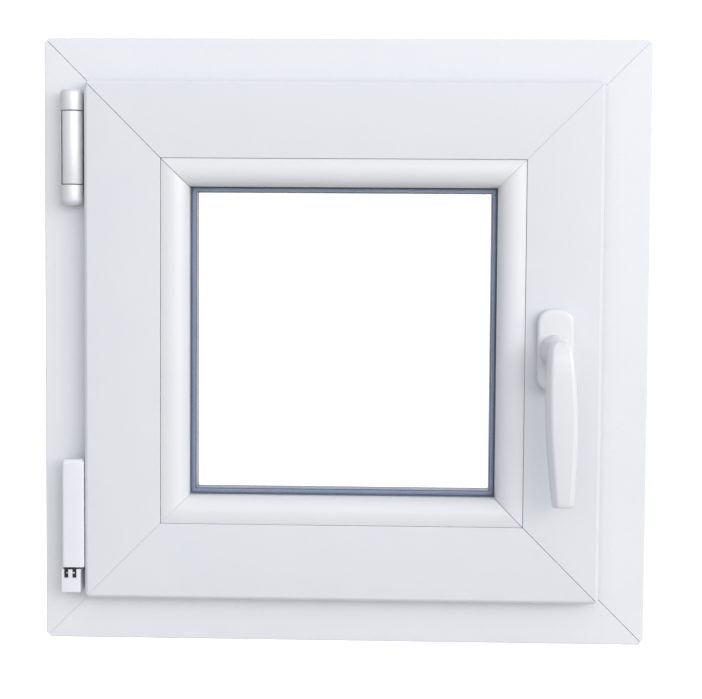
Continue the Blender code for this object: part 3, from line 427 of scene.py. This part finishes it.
def outline_mesh(loops, thickness):
    """A flat outline with holes, filled in XY and thickened along Z."""
    curve = bpy.data.curves.new("outline", "CURVE")
    curve.dimensions = "2D"
    curve.fill_mode = "BOTH"
    curve.extrude = thickness / 2
    for loop in loops:
        spline = curve.splines.new("POLY")
        spline.points.add(len(loop) - 1)
        for point, (x, y) in zip(spline.points, loop):
            point.co = (x, y, 0, 1)
        spline.use_cyclic_u = True
    guide = bpy.data.objects.new("outline", curve)
    bpy.context.scene.collection.objects.link(guide)
    evaluated = guide.evaluated_get(bpy.context.evaluated_depsgraph_get())
    mesh = bpy.data.meshes.new_from_object(evaluated)
    bpy.data.objects.remove(guide, do_unlink=True)
    work = bmesh.new()
    work.from_mesh(mesh)
    bmesh.ops.remove_doubles(work, verts=work.verts, dist=WELD)
    bmesh.ops.recalc_face_normals(work, faces=work.faces)
    work.to_mesh(mesh)
    work.free()
    return mesh


def loft_mesh(loops):
    """Skin between closed loops of equal length, with flat ends."""
    work = bmesh.new()
    rows = [[work.verts.new(p) for p in loop] for loop in loops]
    for lower, upper in zip(rows, rows[1:]):
        for i in range(len(lower)):
            j = (i + 1) % len(lower)
            work.faces.new((lower[i], lower[j], upper[j], upper[i]))
    work.faces.new(rows[0])
    work.faces.new(rows[-1])
    bmesh.ops.remove_doubles(work, verts=work.verts, dist=WELD)
    bmesh.ops.recalc_face_normals(work, faces=work.faces)
    mesh = bpy.data.meshes.new("loft")
    work.to_mesh(mesh)
    work.free()
    return mesh


def turned_mesh(profile, steps=64):
    """A profile of (radius, height) turned about Z; a radius of zero closes an end."""
    loops = []
    for radius, height in profile:
        radius = max(radius, THINNEST)
        loops.append([(x, y, height) for x, y in circle(0, 0, radius, steps)])
    return loft_mesh(loops)


def stand_up(mesh, place):
    """Turn a mesh made along +Z so that it points to the room, and move its origin to the place."""
    mesh.transform(Matrix.Translation(place) @ Matrix.Rotation(math.pi / 2, 4, "X"))


def rectangle(left, low, right, high):
    return [(left, low), (right, low), (right, high), (left, high)]


def circle(x, y, radius, count):
    turns = [2 * math.pi * i / count for i in range(count)]
    return [(x + radius * math.cos(a), y + radius * math.sin(a)) for a in turns]


# ---------------------------------------------------------------- profiles
SIDES = ("sill", "lock_jamb", "head", "hinge_jamb")
RAILS = ("bottom_rail", "lock_stile", "top_rail", "hinge_stile")
TURNS = (0.0, -math.pi / 2, math.pi, math.pi / 2)
# Half of the seam at each end of each side, in mm: the seams at the upper left and lower right are wider.
SEAMS = ((0.09, 0.28), (0.28, 0.09), (0.09, 0.28), (0.28, 0.09))
SASH_CUT_SLANT = 0.14        # the sash's trimmed corners widen towards the room
SIGHT_LINE = 85.5 * MM       # sash's edge to the daylight edge of bead and upstand
BEAD_SEAT = 62.7 * MM        # sash's edge to where the beads are clipped in
BEAD_JOINTS = (0.20 * MM, 0.18 * MM, 0.20 * MM, 0.36 * MM)    # gap between each side's bead and the sash
CORNER_CUT = 4.0 * MM        # welded corners are trimmed off square to the mitre
ON_PLANE = 0.0000001         # m, points closer to a cut than this count as on it


def trim(mesh, cuts):
    """Cut away what lies beyond each plane, given as (point, outward normal), and close the cut."""
    work = bmesh.new()
    work.from_mesh(mesh)
    for point, normal in cuts:
        everything = work.verts[:] + work.edges[:] + work.faces[:]
        result = bmesh.ops.bisect_plane(work, geom=everything, dist=ON_PLANE, plane_co=point,
                                        plane_no=normal, clear_outer=True)
        rim = [item for item in result["geom_cut"] if isinstance(item, bmesh.types.BMEdge)]
        bmesh.ops.edgenet_fill(work, edges=rim)
    bmesh.ops.recalc_face_normals(work, faces=work.faces)
    work.to_mesh(mesh)
    work.free()


def bar(name, loops, side, low, high, look, body, replaced, corner_cut=0.0, slant=0.0):
    """One mitred side of the rectangle from low to high (x, z); its section is (inward, depth) loops."""
    width = high[0] - low[0]
    height = high[1] - low[1]
    length = width if side in (0, 2) else height
    middle = Vector(((low[0] + high[0]) / 2, 0, (low[1] + high[1]) / 2))
    reach = ((0, 0, -height / 2), (width / 2, 0, 0), (0, 0, height / 2), (-width / 2, 0, 0))[side]
    mesh = outline_mesh(loops, 1.0)
    for vertex in mesh.vertices:
        inward, depth, end = vertex.co
        seam = SEAMS[side][0 if end > 0 else 1] * MM
        half = length / 2 - inward - seam
        vertex.co = (math.copysign(half, -end), depth, inward)
    if corner_cut:
        reach_out = length / 2 - corner_cut
        front = min(depth for loop in loops for _, depth in loop)
        trim(mesh, [((sign * reach_out, front, 0), (sign, -slant, -1)) for sign in (-1, 1)])
    piece = to_object(name, mesh, look, body, replaced)
    piece.location = middle + Vector(reach)
    piece.rotation_euler = (0, TURNS[side], 0)
    return settle(piece)


def node_low(name):
    return Vector(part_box(name)[0])


def node_high(name):
    return Vector(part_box(name)[1])


FRAME_LOW = (node_low("frame_hinge_jamb").x, node_low("frame_sill").z)
FRAME_HIGH = (node_high("frame_lock_jamb").x, node_high("frame_head").z)
SASH_LOW = (node_low("sash_hinge_stile").x, node_low("sash_bottom_rail").z)
SASH_HIGH = (node_high("sash_lock_stile").x, node_high("sash_top_rail").z)
ROOM_FACE = node_low("frame_sill").y
OUT_FACE = node_high("frame_sill").y
SASH_ROOM = node_low("sash_bottom_rail").y
SASH_OUT = node_high("sash_bottom_rail").y
GLASS_ROOM = node_low("glass_pane_room").y
GLASS_OUT = node_high("glass_pane_outdoor").y


def frame_section():
    """The fixed frame's section: inward from its outer edge, and depth."""
    body = 46.0 * MM
    stop = 66.0 * MM
    stop_face = OUT_FACE - 16.0 * MM
    key = 3.0 * MM
    soft = 1.1 * MM
    tiny = 0.35 * MM
    outline = [(0, ROOM_FACE, soft), (body, ROOM_FACE, soft), (body, stop_face, tiny),
               (stop, stop_face, soft), (stop, OUT_FACE, soft), (0, OUT_FACE, soft)]
    for middle in (17.0 * MM, -17.0 * MM):
        outline += [(0, middle + key, tiny), (key, middle + key, 0)]
        outline += [(key, middle - key, 0), (0, middle - key, tiny)]
    room = rectangle(6.5 * MM, ROOM_FACE + 3 * MM, body - 3 * MM, ROOM_FACE + 13 * MM)
    steel = rectangle(6.5 * MM, ROOM_FACE + 16 * MM, body - 3 * MM, 13 * MM)
    out = rectangle(6.5 * MM, 22 * MM, stop - 3 * MM, OUT_FACE - 3 * MM)
    return [soften(outline), room, steel, out]


def sash_section():
    """The sash's section: inward from its outer edge, and depth."""
    flange = 20.0 * MM
    floor = BEAD_SEAT
    back = SASH_ROOM + 16 * MM
    upstand = SASH_OUT - 21 * MM
    groove = back + 13 * MM
    seat = flange + 2.2 * MM
    deep = flange + 11.7 * MM
    soft = 0.9 * MM
    outline = [(0, SASH_ROOM + 1.9 * MM, 2.2 * MM), (2.5 * MM, SASH_ROOM, 1.6 * MM),
               (floor, SASH_ROOM, 0.45 * MM),
               (floor, SASH_ROOM + 5 * MM, 0), (floor - 4 * MM, SASH_ROOM + 5 * MM, 0),
               (floor - 4 * MM, SASH_ROOM + 9 * MM, 0), (floor, SASH_ROOM + 9 * MM, 0),
               (floor, upstand, 0), (SIGHT_LINE, upstand, soft), (SIGHT_LINE, SASH_OUT, soft),
               (flange, SASH_OUT, soft), (flange, groove + 8 * MM, 0), (seat, groove + 8 * MM, 0),
               (seat, groove + 6 * MM, 0), (deep, groove + 6 * MM, 0), (deep, groove - 6 * MM, 0),
               (seat, groove - 6 * MM, 0), (seat, groove - 8 * MM, 0), (flange, groove - 8 * MM, 0),
               (flange, back, 0), (0, back, 0.7 * MM)]
    room = rectangle(3 * MM, SASH_ROOM + 3 * MM, 55.5 * MM, back - 3 * MM)
    drive = rectangle(34.2 * MM, back, floor - 3 * MM, back + 23 * MM)
    steel = rectangle(23 * MM, -13 * MM, floor - 3 * MM, SASH_OUT - 3 * MM)
    lip = rectangle(floor + 0.8 * MM, upstand + 3 * MM, SIGHT_LINE - 3 * MM, SASH_OUT - 3 * MM)
    return [soften(outline), room, drive, steel, lip]


def bead_section(joint):
    """Glazing bead: a flat beside the sash, a rounded slope to the glass, and a clip behind."""
    near = BEAD_SEAT + joint
    clip = 59.0 * MM
    front = SASH_ROOM + 0.7 * MM
    flat = 71.5 * MM
    tip_depth = GLASS_ROOM - 7.0 * MM
    points = [(near, front + 0.5 * MM), (near + 0.15 * MM, front + 0.15 * MM), (near + 0.5 * MM, front)]
    steps = 16
    for i in range(steps + 1):
        angle = math.pi / 2 * i / steps
        points.append((flat + (SIGHT_LINE - flat) * math.sin(angle),
                       front + (tip_depth - front) * (1 - math.cos(angle))))
    back = GLASS_ROOM - 3.1 * MM
    points += [(SIGHT_LINE, back), (near, back), (near, SASH_ROOM + 8.7 * MM),
               (clip, SASH_ROOM + 8.7 * MM), (clip, SASH_ROOM + 5.3 * MM), (near, SASH_ROOM + 5.3 * MM)]
    chamber = rectangle(near + 2.5 * MM, front + 2.5 * MM, 74.0 * MM, back - 2.5 * MM)
    return [points, chamber]


def seal_line(name, near, far, inset, width):
    """A thin primary seal between the spacer and a pane, all round the unit."""
    spacer_low = node_low("glass_spacer")
    spacer_high = node_high("glass_spacer")
    thick = far - near
    middle = (spacer_low + spacer_high) / 2
    half = (spacer_high - spacer_low) / 2
    loops = []
    for d in (inset - width, inset):
        loops.append(soften([(x * (half.x - d), z * (half.z - d), 0.5 * MM)
                             for x, z in ((1, -1), (1, 1), (-1, 1), (-1, -1))]))
    mesh = outline_mesh(loops, thick)
    stand_up(mesh, (middle.x, (near + far) / 2, middle.z))
    settle(to_object(name, mesh, "edge_sealant", "sash"))


def build_seal_lines():
    visible = 7.9 * MM       # the spacer's width from its outer to its inner edge
    pane = 4.03 * MM         # a pane's thickness and a little clearance
    clear = 0.02 * MM
    seal_line("spacer_seal_room", GLASS_ROOM + pane, node_low("glass_spacer").y - clear,
              visible, 0.55 * MM)
    seal_line("spacer_seal_outdoor", node_high("glass_spacer").y + clear, GLASS_OUT - pane,
              visible, 0.7 * MM)


def build_profiles():
    for side, (label, rail) in enumerate(zip(SIDES, RAILS)):
        bar(f"frame_profile_{label}", frame_section(), side, FRAME_LOW, FRAME_HIGH,
            "white_upvc", "frame", [f"frame_{label}"], CORNER_CUT)
        bar(f"sash_profile_{rail}", sash_section(), side, SASH_LOW, SASH_HIGH,
            "sash_upvc", "sash", [f"sash_{rail}"], CORNER_CUT, SASH_CUT_SLANT)
        bar(f"bead_{rail}", bead_section(BEAD_JOINTS[side]), side, SASH_LOW, SASH_HIGH,
            "bead_upvc", "sash", [f"glazing_bead_{rail}"])


# ---------------------------------------------------------------- handle
LEVER_LOW = node_low("handle_lever")
LEVER_HIGH = node_high("handle_lever")
ROSETTE_LOW = node_low("rosette_cover")
ROSETTE_HIGH = node_high("rosette_cover")
HANDLE_AXIS = Vector(((ROSETTE_LOW.x + ROSETTE_HIGH.x) / 2, 0, (ROSETTE_LOW.z + ROSETTE_HIGH.z) / 2))
NECK_RADIUS = LEVER_HIGH.z - HANDLE_AXIS.z

# Down the grip, in mm: height from the spindle, half width, half of the flat front, front and back
# depth measured from the foremost and the hindmost plane of the grip, which are GRIP_DEPTH apart.
GRIP_DEPTH = 17.0 * MM
GRIP = ((9.2, 3.2, 1.0, 8.0, 2.5), (8.6, 5.6, 2.9, 6.6, 1.8), (7.2, 7.7, 4.6, 5.0, 1.2),
        (4.6, 9.3, 6.5, 3.2, 0.6), (0.0, 10.2, 7.7, 1.7, 0.1), (-8.0, 10.7, 8.4, 0.8, 0.0),
        (-16.0, 11.4, 8.9, 0.4, 0.0), (-26.0, 12.0, 9.3, 0.2, 0.0), (-37.0, 12.5, 9.5, 0.1, 0.0),
        (-50.0, 12.7, 9.75, 0.0, 0.0), (-62.0, 12.6, 9.6, 0.3, 0.1), (-79.0, 12.0, 8.7, 1.0, 0.6),
        (-100.0, 10.6, 7.0, 2.4, 1.6), (-114.0, 9.5, 5.9, 3.6, 2.4), (-120.5, 8.9, 5.3, 4.3, 2.8),
        (-122.6, 8.3, 4.7, 4.9, 3.3), (-123.4, 7.3, 3.9, 5.6, 4.0))
GRIP_ASIDE = 1.0 * MM        # the grip hangs a little to the right of its spindle
GRIP_LEAN = 0.030            # and leans further right going down


def grip_section(height, half, facet, fore, hind):
    """Section with rounded edges: a flat front, a shallow bevel to the right, a deep one to the left."""
    front = LEVER_LOW.y + fore * MM
    back = LEVER_LOW.y + GRIP_DEPTH - hind * MM
    side = min(3.4 * MM, half * 0.34 * MM)
    half *= MM
    right = 0.92 * facet * MM
    left = 0.82 * facet * MM
    shallow = (half - right) * 0.52
    steep = min((half - left) * 1.20, (back - side - front) * 0.6)
    reach = half * 0.22
    corners = [(right, front, reach * 0.4), (half, front + shallow, reach), (half, back - side, reach),
               (half - side, back, reach), (side - half, back, reach), (-half, back - side, reach),
               (-half, front + steep, reach * 1.5), (-left, front, reach * 1.5)]
    middle = HANDLE_AXIS.x + GRIP_ASIDE - height * MM * GRIP_LEAN
    return [(middle + x, y, HANDLE_AXIS.z + height * MM) for x, y in soften(corners, 4)]


def join(name, meshes, look, body, replaced=(), smooth_angle=35):
    """One piece from several closed bodies."""
    work = bmesh.new()
    for mesh in meshes:
        work.from_mesh(mesh)
    merged = bpy.data.meshes.new(name)
    work.to_mesh(merged)
    work.free()
    for mesh in meshes:
        bpy.data.meshes.remove(mesh)
    return to_object(name, merged, look, body, replaced, smooth_angle)


def build_lever():
    """Grip lofted from its sections, on a neck that flares to a collar at the rosette."""
    grip = loft_mesh([grip_section(*station) for station in GRIP])
    start = LEVER_HIGH.y
    end_in_grip = 14.0 * MM
    reach = start - (LEVER_LOW.y + end_in_grip)
    radius = NECK_RADIUS
    flare = [(0, 0), (radius - 0.6 * MM, 0), (radius - 0.1 * MM, 0.5 * MM), (radius, 1.5 * MM),
             (radius, 3.0 * MM), (radius - 0.25 * MM, 5.0 * MM), (radius - 0.7 * MM, 7.5 * MM),
             (radius - 1.25 * MM, 10.5 * MM), (radius - 1.75 * MM, 14.0 * MM),
             (radius - 2.2 * MM, 18.0 * MM), (radius - 2.8 * MM, 21.0 * MM),
             (radius - 4.5 * MM, reach), (0, reach)]
    neck = turned_mesh(flare, 72)
    stand_up(neck, (HANDLE_AXIS.x, start, HANDLE_AXIS.z))
    settle(join("lever_grip", [grip, neck], "white_lacquer", "handle", ["handle_lever"], 50))


def build_rosette():
    """Cover plate with broad rounded ends, a filleted rim and a slightly crowned front."""
    half_x = (ROSETTE_HIGH.x - ROSETTE_LOW.x) / 2
    half_z = (ROSETTE_HIGH.z - ROSETTE_LOW.z) / 2
    depth = ROSETTE_HIGH.y - ROSETTE_LOW.y
    fillet = 2.6 * MM
    crown = 0.25 * MM
    end_radius = 11.8 * MM
    rows = [(0.2 * MM, 0.0), (0.0, 0.3 * MM), (0.0, depth - crown - fillet)]
    for k in range(1, 8):
        angle = math.pi / 2 * k / 7
        rows.append((fillet * (1 - math.cos(angle)), depth - crown - fillet + fillet * math.sin(angle)))
    rows += [(fillet + 3.0 * MM, depth - 0.6 * crown), (fillet + 7.0 * MM, depth - 0.15 * crown),
             (fillet + 9.6 * MM, depth)]
    loops = []
    for inset, height in rows:
        radius = max(end_radius - inset, 0.6 * MM)
        corners = [(x * (half_x - inset), z * (half_z - inset), radius)
                   for x, z in ((1, -1), (1, 1), (-1, 1), (-1, -1))]
        loops.append([(HANDLE_AXIS.x + x, ROSETTE_HIGH.y - height, HANDLE_AXIS.z + z)
                      for x, z in soften(corners, 12)])
    settle(to_object("rosette_plate", loft_mesh(loops), "white_lacquer", "sash", ["rosette_cover"], 50))


# ---------------------------------------------------------------- hinges
PIVOT = (node_low("upper_hinge_pin") + node_high("upper_hinge_pin")) / 2
BARREL_RADIUS = PIVOT.x - node_low("stay_bearing_upper").x
SLEEVE_HEIGHT = 60.2 * MM


def barrel_rows(low, high, top_round=0.3, low_round=0.3, radius=BARREL_RADIUS):
    """Radius and height up a barrel with quarter-round ends; the roundings are in mm."""
    rows = [(0, low)]
    angles = [math.pi / 2 * k / 6 for k in range(7)]
    for angle in angles:
        rows.append((radius - low_round * MM * (1 - math.sin(angle)),
                     low + low_round * MM * (1 - math.cos(angle))))
    for angle in angles:
        rows.append((radius - top_round * MM * (1 - math.cos(angle)),
                     high - top_round * MM * (1 - math.sin(angle))))
    return rows + [(0, high)]


def box_mesh(low, high, ease=0.3):
    """A box with small bevelled edges, the bevel in mm."""
    work = bmesh.new()
    bmesh.ops.create_cube(work, size=1.0)
    size = Vector(high) - Vector(low)
    middle = (Vector(high) + Vector(low)) / 2
    placed = Matrix.Translation(middle) @ Matrix.Diagonal((*size, 1))
    bmesh.ops.transform(work, matrix=placed, verts=work.verts)
    bmesh.ops.bevel(work, geom=work.edges[:], offset=ease * MM, segments=2, profile=0.5, affect="EDGES")
    mesh = bpy.data.meshes.new("box")
    work.to_mesh(mesh)
    work.free()
    return mesh


def build_upper_hinge():
    """Domed caps above and below the stay arm's sleeve, each with a foot to the frame."""
    frame_face = ROOM_FACE - 0.3 * MM
    for label, node, top_round, low_round in (("upper", "stay_bearing_upper", 3.2, 0.35),
                                              ("lower", "stay_bearing_lower", 0.35, 5.5)):
        low = node_low(node).z
        high = node_high(node).z
        knuckle = turned_mesh(barrel_rows(low, high, top_round, low_round), 72)
        knuckle.transform(Matrix.Translation((PIVOT.x, PIVOT.y, 0)))
        foot = box_mesh((PIVOT.x - 5 * MM, PIVOT.y + 4.5 * MM, low + 5.5 * MM),
                        (PIVOT.x + 5 * MM, frame_face, high - 4.5 * MM))
        settle(join(f"hinge_cap_{label}", [knuckle, foot], "barrel_lacquer", "frame", [node], 40))


def build_stay_arm():
    """Barrel sleeve with an open slot down its left side, and the zinc-plated arm it turns with."""
    low = node_low("stay_arm").z
    high = low + SLEEVE_HEIGHT
    radius = BARREL_RADIUS - 0.1 * MM
    wall = 0.7 * MM
    slot_start = math.radians(194)
    slot_end = math.radians(225)
    steps = 66
    turns = [slot_end + (2 * math.pi + slot_start - slot_end) * i / (steps - 1) for i in range(steps)]
    gap = 0.40 * MM
    loops = []
    for inset, z in ((0.3, low + gap), (0.08, low + gap + 0.1 * MM), (0.0, low + gap + 0.35 * MM),
                     (0.0, high - gap - 0.35 * MM), (0.08, high - gap - 0.1 * MM), (0.3, high - gap)):
        outer = radius - inset * MM
        inner = radius - wall
        outline = [(outer * math.cos(a), outer * math.sin(a)) for a in turns]
        outline += [(inner * math.cos(a), inner * math.sin(a)) for a in reversed(turns)]
        loops.append([(PIVOT.x + x, PIVOT.y + y, z) for x, y in outline])
    settle(to_object("stay_arm_sleeve", loft_mesh(loops), "barrel_lacquer", "stay_arm", ["stay_arm"], 30))
    # A core inside the sleeve, coloured near-black as painted shade so the open slot down its side reads
    # dark.
    clear = 0.05 * MM
    shade_core = turned_mesh(barrel_rows(low + clear, high - clear, 0.2, 0.2, radius - wall - clear), 72)
    shade_core.transform(Matrix.Translation((PIVOT.x, PIVOT.y, 0)))
    settle(to_object("stay_arm_shade_core", shade_core, "edge_sealant", "stay_arm"))

    groove = node_high("stay_arm").y - 7 * MM
    near = PIVOT.y + 7 * MM
    far = PIVOT.y + 9 * MM
    leg = PIVOT.x + 23.3 * MM
    end = node_high("stay_arm").x - 7 * MM
    thick = 2.5 * MM
    strap_low = node_high("stay_arm").z - thick
    leaf = box_mesh((PIVOT.x + 1 * MM, near, low + 6 * MM), (leg + 2 * MM, far, high - 2 * MM))
    riser = box_mesh((leg, near + 0.2 * MM, low + 12 * MM),
                     (leg + 2.2 * MM, PIVOT.y + 21 * MM, strap_low + thick - 0.2 * MM))
    outline = [(leg - 0.3 * MM, groove - 7 * MM)]
    for i in range(19):
        angle = -math.pi / 2 + math.pi * i / 18
        outline.append((end + 7 * MM * math.cos(angle), groove + 7 * MM * math.sin(angle)))
    outline.append((leg - 0.3 * MM, groove + 7 * MM))
    eye = circle(end, groove, 2.8 * MM, 28)
    strap = outline_mesh([outline, eye], thick)
    strap.transform(Matrix.Translation((0, 0, strap_low + thick / 2)))
    settle(join("stay_arm_strap", [leaf, riser, strap], "zinc_plated_steel", "stay_arm"))


def build_hinge_cover():
    """Boxy cover with rounded front edges and a bevelled top, open at the back for the bracket."""
    low = node_low("corner_hinge_cover")
    high = node_high("corner_hinge_cover")
    wall = 1.5 * MM
    bevel = 2.6 * MM
    ease = 2.4 * MM
    back = low.y + 12.0 * MM
    outer = soften([(low.x, back, 0), (low.x, low.y, ease), (high.x, low.y, ease), (high.x, back, 0)],
                   6)
    inner = [(high.x - wall, back), (high.x - wall, low.y + wall), (low.x + wall, low.y + wall),
             (low.x + wall, back)]
    tail = [(low.x + 2.0 * MM, high.y), (low.x + 2.0 * MM + wall, high.y)]
    section = outer + inner + tail[::-1]
    shoulder = high.z - bevel
    walls = loft_mesh([[(x, y, z) for x, y in section] for z in (low.z, shoulder)])
    middle = Vector(((low.x + high.x) / 2, (low.y + back) / 2))
    half = Vector(((high.x - low.x) / 2, (back - low.y) / 2))
    loops = []
    for inset, z in ((0.0, shoulder - 0.01 * MM), (0.15, shoulder + 0.5 * MM),
                     (1.7, high.z - 0.3 * MM), (2.1, high.z)):
        corners = []
        reach_x = half.x - inset * MM
        reach_y = half.y - inset * MM
        for x, y in ((-1, 1), (-1, -1), (1, -1), (1, 1)):
            radius = 0.4 * MM if y > 0 else max(ease - inset * MM, 0.5 * MM)
            corners.append((middle.x + x * reach_x, middle.y + y * reach_y, radius))
        loops.append([(x, y, z) for x, y in soften(corners, 6)])
    lid = loft_mesh(loops)
    settle(join("hinge_cover_shell", [walls, lid], "white_cover_plastic", "sash",
                ["corner_hinge_cover"], 40))


def build_hinge_block():
    """White block over the frame's bracket, with two slots at its top beside the swivel."""
    low = node_low("corner_bearing_cap")
    narrower = 0.9 * MM
    high = node_high("corner_bearing_cap") - Vector((narrower, 0, 0))
    slots_middle = PIVOT.x - 0.8 * MM
    wall = 1.5 * MM
    face = low.y + 2 * MM
    ease = 1.3 * MM
    slot_low = high.z - 7.4 * MM
    outer = soften([(low.x, high.y, 0), (low.x, low.y, ease),
                    (high.x, low.y, ease), (high.x, high.y, 0)], 5)
    inner = [(high.x - wall, high.y), (high.x - wall, face), (low.x + wall, face),
             (low.x + wall, high.y)]
    shell = outer + inner
    base = loft_mesh([[(x, y, z) for x, y in shell] for z in (low.z + 0.01 * MM, slot_low)])
    left_edge = slots_middle - 5.2 * MM
    right_edge = slots_middle + 5.2 * MM
    left = [p for p in outer if p[0] < slots_middle] + [(left_edge, low.y), (left_edge, face)]
    left += [(low.x + wall, face), (low.x + wall, high.y)]
    right = [(right_edge, face), (right_edge, low.y)] + [p for p in outer if p[0] > slots_middle]
    right += [(high.x - wall, high.y), (high.x - wall, face)]
    posts = []
    for side in (left, right):
        posts.append(loft_mesh([[(x, y, z) for x, y in side] for z in (slot_low, high.z)]))
    middle = box_mesh((slots_middle - 1.7 * MM, low.y + 0.3 * MM, slot_low - 0.2 * MM),
                      (slots_middle + 1.7 * MM, low.y + 1.8 * MM, high.z - 0.4 * MM), 0.25)
    settle(join("hinge_block_cover", [base, *posts, middle], "white_cover_plastic", "frame",
                ["corner_bearing_cap"], 40))
    # A near-black plate just behind the slots: painted shade, so the slots read dark.
    depth = low.y + 2.2 * MM
    plate = box_mesh((slots_middle - 6.4 * MM, depth, slot_low - 1.0 * MM),
                     (slots_middle + 6.4 * MM, depth + 0.8 * MM, high.z - 0.2 * MM), 0.1)
    settle(to_object("hinge_block_shade_plate", plate, "edge_sealant", "frame"))
    bridge = box_mesh((slots_middle - 3.6 * MM, depth - 1.0 * MM, slot_low + 3.4 * MM),
                      (slots_middle + 3.6 * MM, depth - 0.1 * MM, slot_low + 4.6 * MM), 0.1)
    settle(to_object("hinge_block_bridge", bridge, "zinc_plated_steel", "frame"))


build_camera()
build_world()
build_lights()
build_floor()
dress_cad_nodes()
build_profiles()
build_seal_lines()
build_lever()
build_rosette()
build_upper_hinge()
build_stay_arm()
build_hinge_cover()
build_hinge_block()

bpy.context.scene.view_settings.view_transform = "Standard"
